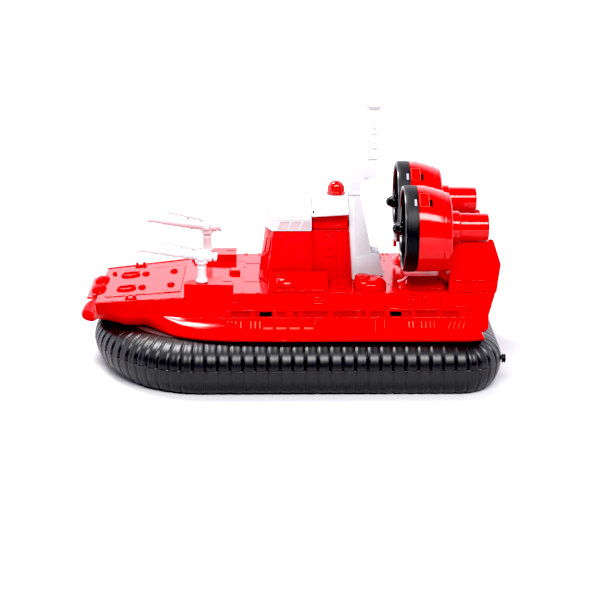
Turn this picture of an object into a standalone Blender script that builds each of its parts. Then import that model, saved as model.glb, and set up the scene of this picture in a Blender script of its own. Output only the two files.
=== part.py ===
"""Toy rescue hovercraft: ribbed skirt, hull, two water cannons, bridge, mast and two ducted fans.

Metres, +Z up, bow toward -X, origin on the floor under the middle of the craft. The tables are in millimetres.
"""

import math

import bmesh
import bpy
from mathutils import Matrix, Vector

MM = 0.001
GAP = 0.3
# The tables count x from a point a little aft of the skirt's middle; this puts the whole craft's middle on the origin
SHIFT = 6.95

for old in list(bpy.data.objects):
    bpy.data.objects.remove(old)


def material(name, colour, roughness, coat=0.0):
    made = bpy.data.materials.new(name)
    made.use_nodes = True
    surface = made.node_tree.nodes["Principled BSDF"]
    surface.inputs["Base Color"].default_value = (*colour, 1.0)
    surface.inputs["Roughness"].default_value = roughness
    surface.inputs["Coat Weight"].default_value = coat
    return made


RED = material("red_plastic", (0.72, 0.008, 0.012), 0.28, 0.3)
WHITE = material("white_plastic", (0.82, 0.82, 0.84), 0.3, 0.2)
SKIRT_BLACK = material("skirt_plastic", (0.012, 0.012, 0.014), 0.38)
FAN_BLACK = material("fan_plastic", (0.01, 0.01, 0.012), 0.25, 0.2)
LAMP_RED = material("lamp_plastic", (0.75, 0.01, 0.01), 0.12, 0.5)

SIDES = (("left", -1.0), ("right", 1.0))


def finish(name, mesh, look, origin=(0.0, 0.0, 0.0)):
    """Turns a closed bmesh in millimetres into an object in metres, facing out, with its origin where asked."""
    bmesh.ops.remove_doubles(mesh, verts=mesh.verts, dist=0.001)
    bmesh.ops.recalc_face_normals(mesh, faces=mesh.faces)
    if mesh.calc_volume(signed=True) < 0:
        bmesh.ops.reverse_faces(mesh, faces=mesh.faces)
    bmesh.ops.scale(mesh, vec=Vector((MM, MM, MM)), verts=mesh.verts)
    data = bpy.data.meshes.new(name)
    mesh.to_mesh(data)
    mesh.free()
    data.materials.append(look)
    made = bpy.data.objects.new(name, data)
    made.location = (Vector(origin) + Vector((SHIFT, 0, 0))) * MM
    bpy.context.scene.collection.objects.link(made)
    return made


def loft(name, rings, look, loop=False):
    """Skins rings of equal length; the ends are capped unless the rings close into a loop."""
    mesh = bmesh.new()
    rows = [[mesh.verts.new(Vector(p)) for p in ring] for ring in rings]
    count = len(rows[0])
    pairs = list(zip(rows, rows[1:]))
    if loop:
        pairs.append((rows[-1], rows[0]))
    for low, high in pairs:
        for i in range(count):
            j = (i + 1) % count
            mesh.faces.new((low[i], low[j], high[j], high[i]))
    if not loop:
        mesh.faces.new(list(reversed(rows[0])))
        mesh.faces.new(rows[-1])
    return finish(name, mesh, look)


def prism(name, outline, axis, low, high, look):
    """Pushes a flat outline along one axis; the outline holds the other two coordinates in order."""
    def place(p, t):
        return {"x": (t, p[0], p[1]), "y": (p[0], t, p[1]), "z": (p[0], p[1], t)}[axis]
    return loft(name, [[place(p, t) for p in outline] for t in (low, high)], look)


def box(name, x, y, z, look):
    return prism(name, [(x[0], y[0]), (x[1], y[0]), (x[1], y[1]), (x[0], y[1])], "z", z[0], z[1], look)


def lathe(name, profile, centre, look, axis="x", sides=40):
    """Turns a closed profile of (along, radius, drop) about an axis; radius 0 points meet on it, drop lowers a ring."""
    mesh = bmesh.new()
    spin = {"x": lambda a, r, t: (a, r * math.cos(t), r * math.sin(t)),
            "z": lambda a, r, t: (r * math.cos(t), r * math.sin(t), a)}[axis]
    rows = []
    for along, radius, *drop in profile:
        lower = Vector((0, 0, drop[0] if drop else 0))
        if radius == 0:
            rows.append([mesh.verts.new(Vector(spin(along, 0, 0)) - lower)])
        else:
            rows.append([mesh.verts.new(Vector(spin(along, radius, math.tau * k / sides)) - lower) for k in range(sides)])
    hollow = profile[0][1] != 0
    pairs = list(zip(rows, rows[1:]))
    if hollow:
        pairs.append((rows[-1], rows[0]))
    for a, b in pairs:
        for k in range(sides):
            m = (k + 1) % sides
            corners = [a[k % len(a)], a[m % len(a)], b[m % len(b)], b[k % len(b)]]
            unique = list(dict.fromkeys(corners))
            if len(unique) > 2:
                mesh.faces.new(unique)
    return finish(name, mesh, look, centre)


def bar(name, start, end, radius, look, sides=12, end_radius=None):
    """A round rod between two points, tapering when an end radius is given."""
    a, b = Vector(start), Vector(end)
    turn = (b - a).to_track_quat("Z", "Y").to_matrix()
    rings = []
    for point, r in ((a, radius), (b, end_radius or radius)):
        rings.append([point + turn @ Vector((r * math.cos(math.tau * k / sides), r * math.sin(math.tau * k / sides), 0))
                      for k in range(sides)])
    return loft(name, rings, look)


def combine(target, others, operation):
    """Joins or cuts with real solids through exact Booleans; the tools stay as wire cutters."""
    for other in others:
        other.hide_render = True
        other.display_type = "WIRE"
        step = target.modifiers.new(other.name, "BOOLEAN")
        step.operation = operation
        step.solver = "EXACT"
        step.object = other
    return target


# Skirt: a stadium plan with a round bow, ribs pressed in all the way round
SKIRT_HALF = 106.0
BOW_CENTRE = -84.0
STERN = 183.5
CORNER = 40.0
RIB_COUNT = 95
RIB_START = 0.36  # where the first rib's groove lies, in ribs from half a rib past the middle of the transom
RIB_DEPTH = 1.9
RIB_SHAPE = ((0.0, 1.0), (0.09, 0.42), (0.2, 0.09), (0.8, 0.09), (0.91, 0.42))  # place in a rib, share of the depth
SKIRT_TOP = 44.0


def skirt_walk():
    """Pieces of the skirt's plan line, anticlockwise from the middle of the transom: length, and point and outward normal along it."""
    half = STERN - CORNER
    pieces = []

    def straight(x0, y0, x1, y1):
        length = math.hypot(x1 - x0, y1 - y0)
        ux, uy = (x1 - x0) / length, (y1 - y0) / length
        pieces.append((length, lambda s: (x0 + ux * s, y0 + uy * s, uy, -ux)))

    def arc(cx, cy, radius, begin, finish_angle):
        length = radius * abs(finish_angle - begin)
        sign = 1 if finish_angle > begin else -1

        def at(s):
            t = begin + sign * s / radius
            return cx + radius * math.cos(t), cy + radius * math.sin(t), math.cos(t), math.sin(t)
        pieces.append((length, at))

    flat = SKIRT_HALF - CORNER
    straight(STERN, 0, STERN, flat)
    arc(half, flat, CORNER, 0, math.pi / 2)
    straight(half, SKIRT_HALF, BOW_CENTRE, SKIRT_HALF)
    arc(BOW_CENTRE, 0, SKIRT_HALF, math.pi / 2, 3 * math.pi / 2)
    straight(BOW_CENTRE, -SKIRT_HALF, half, -SKIRT_HALF)
    arc(half, -flat, CORNER, -math.pi / 2, 0)
    straight(STERN, -flat, STERN, 0)
    return pieces


WALK = skirt_walk()
WALK_LENGTH = sum(length for length, _ in WALK)


def walk(s):
    s %= WALK_LENGTH
    for length, at in WALK:
        if s <= length:
            return at(s)
        s -= length
    return WALK[-1][1](WALK[-1][0])


SKIRT_SECTION = (  # inset from the widest line, height, share of the rib groove, further inset at the bow
    (24.0, 44.0, 0.0, 0.0), (14.0, 43.4, 0.8, 0.0), (6.0, 38.6, 1.0, 0.0), (1.2, 31.5, 1.0, 0.0), (0.0, 24.5, 1.0, 0.0),
    (0.7, 16.5, 0.55, 0.5), (3.2, 8.0, 0.5, 2.3), (6.8, 2.0, 0.6, 4.7), (11.0, 0.0, 0.0, 7.0), (30.0, 0.0, 0.0, 0.0),
    (34.0, 44.0, 0.0, 0.0))


def skirt_ring(s, groove):
    x, y, nx, ny = walk(s)
    ring = []
    for inset, height, share, tuck in SKIRT_SECTION:
        d = inset + share * groove + tuck * min(nx, 0.0) ** 2
        ring.append((x - nx * d, y - ny * d, height))
    return ring


rings = []
for rib in range(RIB_COUNT):
    for part, share in RIB_SHAPE:
        rings.append(skirt_ring((rib + 0.5 + RIB_START + part) * WALK_LENGTH / RIB_COUNT, share * RIB_DEPTH))
loft("skirt", rings, SKIRT_BLACK, loop=True)

plate = []
for k in range(72):
    x, y, nx, ny = walk(k * WALK_LENGTH / 72)
    plate.append((x - nx * 22.0, y - ny * 22.0))
prism("skirt_deck", plate, "z", SKIRT_TOP + GAP, 46.4, SKIRT_BLACK)
lathe("stern_plug", [(0, 0), (0, 4.2), (2.3, 4.2), (2.9, 3.4), (2.9, 0)], (STERN + GAP, -73.0, 24.0), SKIRT_BLACK, sides=16)

# Hull: stations from the prow to the transom; half section bottom, lip, cheek, knuckle, deck edge
HULL = (  # x, bottom z, bottom y, lip y, lip z, knuckle y, knuckle z, deck y, deck z
    (-202.0, 40.6, 4.0, 6.0, 41.6, 6.0, 43.0, 4.0, 44.0),
    (-200.5, 39.3, 9.0, 12.5, 41.5, 12.5, 44.5, 9.0, 46.2),
    (-196.5, 38.5, 13.0, 18.5, 41.5, 18.5, 46.0, 14.0, 48.4),
    (-191.0, 39.4, 18.0, 25.0, 42.5, 25.0, 47.0, 20.0, 49.6),
    (-187.0, 42.0, 21.0, 30.0, 44.5, 31.0, 49.6, 27.0, 52.4),
    (-184.6, 44.6, 26.0, 33.0, 47.0, 38.0, 54.0, 38.0, 59.0),
    (-182.5, 46.7, 30.0, 35.0, 48.5, 44.0, 58.0, 49.5, 69.0),
    (-172.6, 46.7, 34.4, 39.5, 49.3, 47.0, 59.0, 50.3, 69.9),
    (-162.6, 46.7, 40.7, 45.5, 49.4, 50.0, 59.5, 51.2, 70.8),
    (-157.0, 46.7, 45.5, 49.5, 49.4, 51.5, 59.7, 51.7, 71.3),
    (-150.0, 46.7, 47.6, 50.8, 49.2, 53.0, 59.8, 52.6, 72.0),
    (-137.0, 46.7, 48.5, 52.0, 49.0, 54.8, 60.0, 53.7, 73.2),
    (-127.7, 46.7, 57.6, 60.0, 49.0, 57.4, 60.2, 54.6, 74.0),
    (-120.0, 46.7, 65.3, 67.5, 49.0, 59.8, 60.4, 55.2, 74.7),
    (-112.4, 46.7, 73.0, 74.5, 49.0, 62.0, 60.5, 56.0, 75.4),
    (-104.6, 46.7, 78.2, 79.5, 49.0, 63.9, 60.6, 56.9, 76.1),
    (-95.0, 46.7, 82.0, 83.2, 48.9, 65.0, 60.6, 56.8, 79.1),
    (-89.0, 46.7, 83.9, 85.0, 48.8, 65.4, 60.6, 56.5, 81.0),
    (-84.0, 46.7, 85.2, 86.4, 48.8, 65.8, 60.6, 56.8, 81.0),
    (-57.2, 46.7, 88.4, 89.4, 48.8, 66.5, 60.6, 57.5, 81.0),
    (-30.0, 46.7, 89.6, 90.6, 48.8, 66.5, 60.6, 57.5, 81.0),
    (152.0, 46.7, 89.6, 90.6, 48.8, 66.5, 60.6, 57.5, 81.0),
)
CHEEK = 1.6


def hull_ring(row):
    x, zb, yb, yl, zl, yk, zk, yd, zd = row
    bulge = CHEEK if x < -60 else 0.5
    half = [(x, yb, zb), (x, yl, zl), (x, (yl + yk) / 2 + bulge, (zl + zk) / 2 + bulge * 0.7), (x, yk, zk), (x, yd, zd)]
    return [(x, -y, z) for x, y, z in half] + [(x, y, z) for x, y, z in reversed(half)]


stations = [hull_ring(row) for row in HULL]
TAIL = (  # the slanted end of the band, the step in behind it, and the transom's corner
    ((165.4, 86.4, 46.7), (164.9, 88.2, 49.3), (161.3, 77.9, 55.3), (157.6, 66.6, 60.6), (157.6, 57.5, 81.0)),
    ((166.2, 68.0, 46.7), (166.0, 68.2, 49.3), (162.4, 67.4, 55.0), (158.6, 66.0, 60.4), (158.6, 57.5, 81.0)),
    ((170.0, 64.0, 46.7), (171.0, 66.0, 49.5), (171.6, 64.4, 55.0), (171.8, 61.5, 61.0), (177.4, 57.5, 81.0)))
for half in TAIL:
    stations.append([(x, -y, z) for x, y, z in half] + [(x, y, z) for x, y, z in reversed(half)])
hull = loft("hull", stations, RED)
SCUPPERS = ((-33.8, -22.7), (82.8, 93.0))
cutters = []
for index, (x0, x1) in enumerate(SCUPPERS):
    for side_name, side in SIDES:
        cutters.append(box(f"scupper_{index}_{side_name}", (x0, x1), sorted((side * 58.0, side * 80.0)), (62.0, 65.7), RED))
combine(hull, cutters, "DIFFERENCE")

# Foredeck: a hatch with vents and buttons on the sloping ramp, cleats on its edges, and the tongue at the bow


def ramp_height(x):
    return 69.0 + (x + 182.5) * (76.2 - 69.0) / 78.5


def dome(name, x, y, half_x, half_y, rows, base, look, sides):
    """A low rounded pad on the ramp: rows of (share of the outline, height above the base)."""
    rings = []
    for share, rise in rows:
        ring = []
        for k in range(sides):
            angle = math.tau * k / sides
            px = x + half_x * share * math.cos(angle)
            ring.append((px, y + half_y * share * math.sin(angle), ramp_height(px) + base + rise))
        rings.append(ring)
    return loft(name, rings, look)


HATCH_OUTLINE = ((-181.0, -36.0), (-106.0, -38.5), (-106.0, 38.5), (-181.0, 36.0))
HATCH_TOP = 1.5
hatch = loft("foredeck_hatch", [[(x, y, ramp_height(x) + lift) for x, y in HATCH_OUTLINE] for lift in (GAP, HATCH_TOP)], RED)
pads = []
for side_name, side in SIDES:
    pads.append(dome("vent_" + side_name, -157.4, side * 19.2, 9.0, 6.0, ((1.0, -0.6), (1.0, 1.4), (0.9, 2.0)),
                     HATCH_TOP, RED, 20))
    for index, x in enumerate((-143.0, -116.4)):
        pads.append(dome(f"button_{index}_{side_name}", x, side * 19.2, 3.5, 3.5,
                         ((1.0, -0.6), (1.0, 0.8), (0.8, 1.8), (0.3, 2.4)), HATCH_TOP, RED, 12))
pads.append(dome("peg", -178.6, 24.0, 1.8, 1.8, ((1.0, -0.6), (1.0, 2.6)), HATCH_TOP, RED, 10))
combine(hatch, pads, "UNION")

for side_name, side in SIDES:
    cleat = dome("cleat_" + side_name, -150.5, side * 47.0, 5.4, 2.2, ((1.0, GAP), (1.0, 1.5)), 0.0, RED, 16)
    posts = [dome(f"cleat_post_{index}_{side_name}", x, side * 47.0, 1.2, 1.2, ((1.0, 0.9), (1.0, 3.6), (0.6, 4.4)), 0.0, RED, 10)
             for index, x in enumerate((-153.0, -148.0))]
    combine(cleat, posts, "UNION")

TONGUE = ((-193.0, -27.0), (-183.7, -31.0), (-183.7, 31.0), (-193.0, 27.0))
tongue = loft("bow_plate", [[(x, y, ramp_height(x) + lift) for x, y in TONGUE] for lift in (-3.3, -1.3)], RED)
lobes = [dome("tongue_lobe_" + side_name, -188.3, side * 12.0, 4.2, 10.4, ((1.0, -0.6), (1.0, 1.2), (0.85, 2.6), (0.45, 3.4)),
              -1.3, RED, 18) for side_name, side in SIDES]
combine(tongue, lobes, "UNION")

# Gun platforms on the deck's edges; their outer sides lie in the plane of the hull's wall
PLATFORM = (  # x, inner y, outer y at the foot, outer y at the top, foot z
    (-101.6, 46.5, 56.2, 52.2, 77.0), (-100.0, 42.8, 56.8, 52.5, 77.5), (-92.0, 39.2, 56.5, 53.1, 80.1), (-89.0, 38.0, 56.4, 53.3, 81.0),
    (-84.0, 36.2, 56.6, 53.7, 81.0), (-74.0, 33.2, 56.8, 54.0, 81.0), (-57.6, 32.6, 57.3, 54.4, 81.0))
PLATFORM_TOP = 88.0
for side_name, side in SIDES:
    rows = []
    for x, inner, foot, top, low in PLATFORM:
        rows.append([(x, side * inner, low + GAP), (x, side * foot, low + GAP), (x, side * top, PLATFORM_TOP), (x, side * inner, PLATFORM_TOP)])
    loft("gun_platform_" + side_name, rows, RED)

loft("centre_block", [[(x, y, z) for x, y in ((-63.4 + lean, -4.6), (-52.8, -4.6), (-52.8, 4.6), (-63.4 + lean, 4.6))]
                      for lean, z in ((0.0, 81.0 + GAP), (1.6, 84.6))], RED)

# Water cannons: a fixed post and a head that turns on it
CANNON_X = -85.7
CANNON_Y = 45.5
POST_TOP = 105.0
for side_name, side in SIDES:
    centre = (CANNON_X, side * CANNON_Y, 0.0)
    lathe("cannon_post_" + side_name,
          [(88.0 + GAP, 0), (88.0 + GAP, 5.6), (90.0, 5.6), (92.5, 4.6), (POST_TOP - 1.0, 3.9), (POST_TOP, 3.9), (POST_TOP, 0)],
          centre, WHITE, axis="z", sides=24)
    y = side * CANNON_Y
    body = lathe("cannon_head_" + side_name,
                 [(POST_TOP + GAP, 0), (POST_TOP + GAP, 5.0), (POST_TOP + 4.0, 6.0), (POST_TOP + 10.0, 6.0), (POST_TOP + 12.5, 4.5),
                  (POST_TOP + 12.5, 0)], centre, WHITE, axis="z", sides=20)
    barrel = bar("barrel_" + side_name, (-76.0, y, 111.5), (-142.5, y, 119.5), 4.6, WHITE, 16, 2.4)
    breech = bar("breech_" + side_name, (-82.0, y, 111.9), (-71.5, y, 111.2), 3.2, WHITE, 14)
    pipe = bar("pipe_" + side_name, (-88.0, y, 119.2), (-123.5, y, 126.8), 1.7, WHITE, 12, 1.2)
    strut = bar("strut_" + side_name, (-103.5, y, 113.0), (-103.5, y, 123.0), 1.2, WHITE, 10)
    root = bar("root_" + side_name, (-88.5, y, 110.0), (-88.5, y, 119.6), 2.0, WHITE, 10)
    combine(body, (barrel, breech, pipe, strut, root), "UNION")

# Cabin: red, hollow, open into the bridge above
CABIN_TOP = 131.0
CABIN_PLAN = (  # x share of the front rake, y
    (-35.5, 13.0, 1.0), (-27.0, 31.0, 0.8), (13.0, 31.0, 0.0), (15.0, 28.0, 0.0), (46.0, 28.0, 0.0))


def cabin_ring(height, shrink, rake):
    half = []
    for x, y, share in CABIN_PLAN:
        inner_x = x + shrink if x < 0 else (x - shrink if x > 40 else x)
        half.append((inner_x + share * rake, y - shrink, height))
    return [(x, -y, z) for x, y, z in half] + [(x, y, z) for x, y, z in reversed(half)]


cabin = loft("cabin", [cabin_ring(81.0 + GAP, 0, 0), cabin_ring(CABIN_TOP, 0, 7.0)], RED)
hollow = loft("cabin_space", [cabin_ring(84.0, 2.2, 0.4), cabin_ring(CABIN_TOP + 2.0, 2.2, 7.3)], RED)
combine(cabin, (hollow,), "DIFFERENCE")

# Bridge: white, windows cut through its walls, a hipped roof
BRIDGE_RINGS = (  # z, front x, front y, corner x, corner y, aft x, aft y
    (131.3, -30.5, 14.0, -22.5, 32.5, 13.0, 32.5),
    (143.5, -22.5, 14.0, -19.0, 32.5, 13.0, 32.5),
    (146.0, -22.5, 14.0, -19.0, 32.5, 13.0, 32.5),
    (152.5, -20.0, 10.0, -16.0, 20.0, 13.0, 20.0))


def bridge_ring(row, shrink=0.0):
    z, fx, fy, cx, cy, ax, ay = row
    half = [(fx + shrink, fy - shrink * 0.3, z), (cx + shrink * 0.4, cy - shrink, z), (ax - shrink, ay - shrink, z)]
    return [(x, -y, z) for x, y, z in half] + [(x, y, z) for x, y, z in reversed(half)]


bridge = loft("bridge", [bridge_ring(row) for row in BRIDGE_RINGS], WHITE)
room_rows = [(131.0, *BRIDGE_RINGS[0][1:]), (143.5, *BRIDGE_RINGS[1][1:]), (144.5, *BRIDGE_RINGS[2][1:])]
room = loft("bridge_space", [bridge_ring(row, 2.0) for row in room_rows], WHITE)
cutters = [room]
for k, (x0, x1) in enumerate(((-17.5, -9.5), (-6.5, 1.5), (4.5, 10.5))):
    cutters.append(loft(f"side_window_{k}", [[(x0 + lean, y, z) for lean, z in ((0, 133.2), (2.2, 139.5))] +
                                             [(x1 + lean, y, z) for lean, z in ((2.2, 139.5), (0, 133.2))]
                                             for y in (-40.0, 40.0)], WHITE))
cutters.append(box("front_window", (-40.0, -15.5), (-11.5, 11.5), (133.6, 140.5), WHITE))
combine(bridge, cutters, "DIFFERENCE")

ROOF_EDGE = ((13.0 + GAP, 144.4), (46.2, 146.3))
ROOF_TOP = 157.2
rows = []
for x, base in ROOF_EDGE:
    half = [(x, 33.0, base), (x, 33.0, base + 2.6), (x, 9.0, ROOF_TOP)]
    rows.append([(x, -y, z) for x, y, z in half] + [(x, y, z) for x, y, z in reversed(half)])
loft("aft_roof", rows, WHITE)

# Wall between the cabin's top and the aft roof
prism("aft_house", ((13.0 + GAP, CABIN_TOP + GAP), (45.8, CABIN_TOP + GAP), (45.8, 145.9), (13.0 + GAP, 144.1)),
      "y", -26.0, 26.0, RED)

# Beacon lamp
lathe("beacon", [(ROOF_TOP + GAP, 0), (ROOF_TOP + GAP, 8.2), (159.2, 8.2), (159.6, 7.4), (164.6, 7.2), (168.0, 5.2), (169.6, 0)],
      (35.6, 0.0, 0.0), LAMP_RED, axis="z", sides=28)

# Tower behind the cabin and the mast on it
TOWER = (  # z, front x, aft x, front half width, aft half width
    (81.0 + GAP, 50.2, 79.5, 22.0, 11.0), (108.0, 48.7, 72.8, 21.2, 10.4), (108.5, 48.7, 66.6, 21.2, 10.4),
    (126.0, 47.4, 63.2, 20.0, 10.0), (156.0, 46.6, 57.6, 9.0, 6.0))
rows = []
for z, front, aft, wide, narrow in TOWER:
    half = [(front, wide, z), (front + 4.5, wide, z), (aft, narrow, z)]
    rows.append([(x, -y, h) for x, y, h in half] + [(x, y, h) for x, y, h in reversed(half)])
loft("tower", rows, WHITE)
MAST = ((47.0, 156.0 + GAP), (57.8, 156.0 + GAP), (58.6, 168.5), (72.6, 174.5), (73.2, 236.0), (65.8, 236.0), (64.4, 184.5),
        (47.0, 184.5))
mast = prism("mast", MAST, "y", -5.0, 5.0, WHITE)
parts = [
    lathe("mast_cap", [(235.0, 0), (235.0, 5.0), (238.0, 8.4), (240.5, 8.4), (240.5, 7.0), (239.0, 6.4), (239.0, 0)],
          (69.4, 0.0, 0.0), WHITE, axis="z", sides=24),
    prism("mast_arm_aft", ((66.0, 190.5), (76.0, 190.5), (88.5, 197.0), (88.0, 198.5), (75.0, 193.5), (66.0, 193.5)),
          "y", -4.0, 4.0, WHITE),
    prism("mast_arm_fore", ((67.0, 203.0), (67.0, 207.0), (52.0, 211.8), (51.6, 210.2)), "y", -2.0, 2.0, WHITE)]
combine(mast, parts, "UNION")

# Drums on the deck edge, two each side: the fore pair grows out of a sloping fairing, the aft pair has a cap
FORE_DRUM = (-9.8, 44.2, 12.5)
AFT_DRUM = (65.6, 41.4, 15.0)
FAIRING = ((31.3, 81.0 + GAP), (56.8, 81.0 + GAP), (56.2, 83.5), (45.0, 91.5), (31.3, 93.0))
for side_name, side in SIDES:
    x, y, r = FORE_DRUM
    fore = lathe("drum_fore_" + side_name,
                 [(81.0 + GAP, 0), (81.0 + GAP, r), (85.5, r), (89.0, r - 1.6), (92.0, r - 5.0), (93.2, 0)],
                 (x, side * y, 0.0), RED, axis="z", sides=28)
    fairing = prism("fairing_" + side_name, [(side * a, b) for a, b in FAIRING], "x", -26.0, 27.5, RED)
    combine(fore, (fairing,), "UNION")
    x, y, r = AFT_DRUM
    aft = lathe("drum_aft_" + side_name,
                [(81.0 + GAP, 0), (81.0 + GAP, r), (85.0, r), (87.6, r - 1.4), (89.6, r - 5.0), (90.4, 0)],
                (x, side * y, 0.0), RED, axis="z", sides=28)
    cap = lathe("drum_cap_" + side_name, [(86.0, 0), (86.0, 7.0), (91.4, 7.0), (92.4, 6.0), (92.4, 0)],
                (x - 6.6, side * y, 0.0), RED, axis="z", sides=20)
    combine(aft, (cap,), "UNION")

# Fans: black front ring, red duct, nacelle and a rotor that turns
FAN_Y = 43.7
FAN_Z = 136.9
for side_name, side in SIDES:
    centre = (0.0, side * FAN_Y, FAN_Z)
    lathe("fan_ring_" + side_name, [(94.6, 35.6), (93.6, 36.8), (94.6, 38.0), (97.0, 38.5), (105.4, 38.5), (105.4, 35.6)],
          centre, FAN_BLACK, sides=48)
    lathe("fan_duct_" + side_name,
          [(105.4 + GAP, 35.6), (105.4 + GAP, 38.3), (111.0, 38.3, 0.1), (122.0, 37.0, 1.2), (129.0, 35.8, 2.4), (129.6, 35.0, 2.6),
           (133.6, 34.6, 3.2), (135.2, 33.6, 3.5), (135.2, 13.7, -1.3), (133.2, 13.7, -1.3), (133.2, 31.6, 3.0), (128.4, 33.2, 2.2),
           (122.0, 34.4, 1.2), (111.0, 35.4, 0.1)],
          centre, RED, sides=48)
    lathe("nacelle_" + side_name,
          [(113.0, 0), (113.0, 5.0), (132.8, 6.0), (132.8, 13.4, -1.3), (135.6, 13.4, -1.3), (135.6, 14.4, -1.3), (143.6, 14.4, -1.3),
           (144.6, 12.6, -1.3), (169.6, 12.2, -1.3), (169.6, 10.4, -1.3), (166.6, 10.4, -1.3), (166.6, 0, -1.3)],
          centre, RED, sides=32)
    rotor = lathe("fan_" + side_name,
                  [(84.6, 0), (85.6, 2.6), (88.4, 4.9), (92.4, 6.0), (112.6, 6.0), (112.6, 0)], centre, FAN_BLACK, sides=20)
    blades = []
    for k in range(5):
        angle = math.tau * k / 5
        rows = []
        for radius, chord, twist in ((4.0, 9.0, 0.95), (18.0, 11.0, 0.7), (33.8, 9.0, 0.45)):
            ring = []
            for along, thick in ((-0.5, -0.55), (0.5, -0.55), (0.5, 0.55), (-0.5, 0.55)):
                u = along * chord
                ax = u * math.sin(twist) - thick * math.cos(twist)
                tang = u * math.cos(twist) + thick * math.sin(twist)
                point = Matrix.Rotation(angle, 3, "X") @ Vector((0.0, radius, tang * side))
                ring.append((103.5 + ax, point.y + centre[1], point.z + centre[2]))
            rows.append(ring)
        blades.append(loft(f"blade_{side_name}_{k}", rows, FAN_BLACK))
    combine(rotor, blades, "UNION")

# Low arched fairings on the deck under the fans: x, half width, height
FAN_FAIRING = ((91.6, 12.0, 0.5), (93.0, 12.8, 1.9), (98.8, 13.3, 7.2), (100.8, 13.3, 7.7), (128.0, 13.3, 7.7), (131.6, 12.9, 6.6),
               (134.4, 11.8, 2.4), (135.1, 11.0, 0.5))
ARCH_STEPS = 10
for side_name, side in SIDES:
    rows = []
    for x, half, height in FAN_FAIRING:
        rows.append([(x, side * (35.0 + half * math.cos(math.pi * k / ARCH_STEPS)),
                      81.0 + GAP + height * math.sin(math.pi * k / ARCH_STEPS)) for k in range(ARCH_STEPS + 1)])
    loft("fan_fairing_" + side_name, rows, RED)

# Pylons: an outer wall that leans inward, the block behind it, and the saddle that the nacelle lies in
PYLON_LEAN = 0.2
PYLON = ((135.6, 81.0 + GAP), (178.3, 81.0 + GAP), (179.7, 91.7), (181.7, 106.0), (175.4, 124.9), (174.0, 127.7), (136.4, 128.8))
PYLON_BLOCK = ((135.9, 81.0 + GAP), (177.0, 81.0 + GAP), (177.0, 103.0), (172.4, 122.6), (170.6, 125.2), (146.5, 125.2),
               (146.5, 118.0), (135.9, 118.0))


def pylon_face(outline, side, at_deck):
    """The outline on a face that leans inward, at_deck from the craft's middle at deck level."""
    return [(x, side * (at_deck - PYLON_LEAN * (z - 81.0)), z) for x, z in outline]


for side_name, side in SIDES:
    wall = loft("pylon_" + side_name, [pylon_face(PYLON, side, 57.8), pylon_face(PYLON, side, 55.6)], RED)
    block = loft("pylon_block_" + side_name,
                 [pylon_face(PYLON_BLOCK, side, 56.8), [(x, side * 30.0, z) for x, z in PYLON_BLOCK]], RED)
    combine(wall, (block,), "UNION")
    saddle = lathe("saddle_" + side_name,
                   [(133.0, 0), (133.0, 14.8, -1.3), (145.0, 14.8, -1.3), (145.0, 13.0, -1.3), (170.3, 12.6, -1.3), (170.3, 0)],
                   (0.0, side * FAN_Y, FAN_Z), RED, sides=32)
    combine(wall, (saddle,), "DIFFERENCE")
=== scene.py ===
"""Toy rescue hovercraft, dressed: detailed mouldings, plastics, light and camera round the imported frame.

Shape tables are in millimetres with the bow toward -X. Their x starts SHIFT aft of the frame's origin, which
Mould.out adds. Port is the photographed side, at negative y, and is called left.
"""

import math

import bmesh
import bpy
from bpy.props import FloatProperty, FloatVectorProperty, IntProperty, PointerProperty
from mathutils import Matrix, Vector


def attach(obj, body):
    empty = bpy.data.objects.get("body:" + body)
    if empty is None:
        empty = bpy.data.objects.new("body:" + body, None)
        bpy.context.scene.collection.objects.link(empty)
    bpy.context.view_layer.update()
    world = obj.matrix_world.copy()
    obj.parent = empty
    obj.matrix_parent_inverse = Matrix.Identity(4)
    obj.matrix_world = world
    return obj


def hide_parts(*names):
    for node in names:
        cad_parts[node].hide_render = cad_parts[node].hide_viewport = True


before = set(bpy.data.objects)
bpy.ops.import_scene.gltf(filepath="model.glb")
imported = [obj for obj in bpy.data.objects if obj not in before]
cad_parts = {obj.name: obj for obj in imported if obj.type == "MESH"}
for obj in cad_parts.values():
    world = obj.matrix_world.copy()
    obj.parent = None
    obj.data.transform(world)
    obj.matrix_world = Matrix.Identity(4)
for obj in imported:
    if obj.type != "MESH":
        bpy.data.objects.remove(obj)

bl_info = {
    "name": "Rescue Hovercraft Toy",
    "version": (1, 0, 0),
    "blender": (4, 5, 0),
    "location": "3D View > Sidebar > Hovercraft",
    "description": "Builds the toy hovercraft's mouldings, plastics, fans, water cannons and studio",
    "category": "Add Mesh",
}

MM = 0.001
SHIFT = 6.95
DECK_SEAT = 81.3  # where pieces stand on the deck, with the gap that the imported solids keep
SIDES = (("left", -1.0), ("right", 1.0))
SIDE_OUT = (0.0, -1.0, 0.0)
BAR_RISE = 0.0006
UPWARD = (0, 0, 1)


def colour_property(name, description, default):
    return FloatVectorProperty(name=name, description=description, subtype="COLOR", size=3, min=0.0,
                               max=1.0, default=default)


def length_property(name, description, default):
    return FloatProperty(name=name, description=description, default=default, min=0.0, unit="LENGTH")


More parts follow.
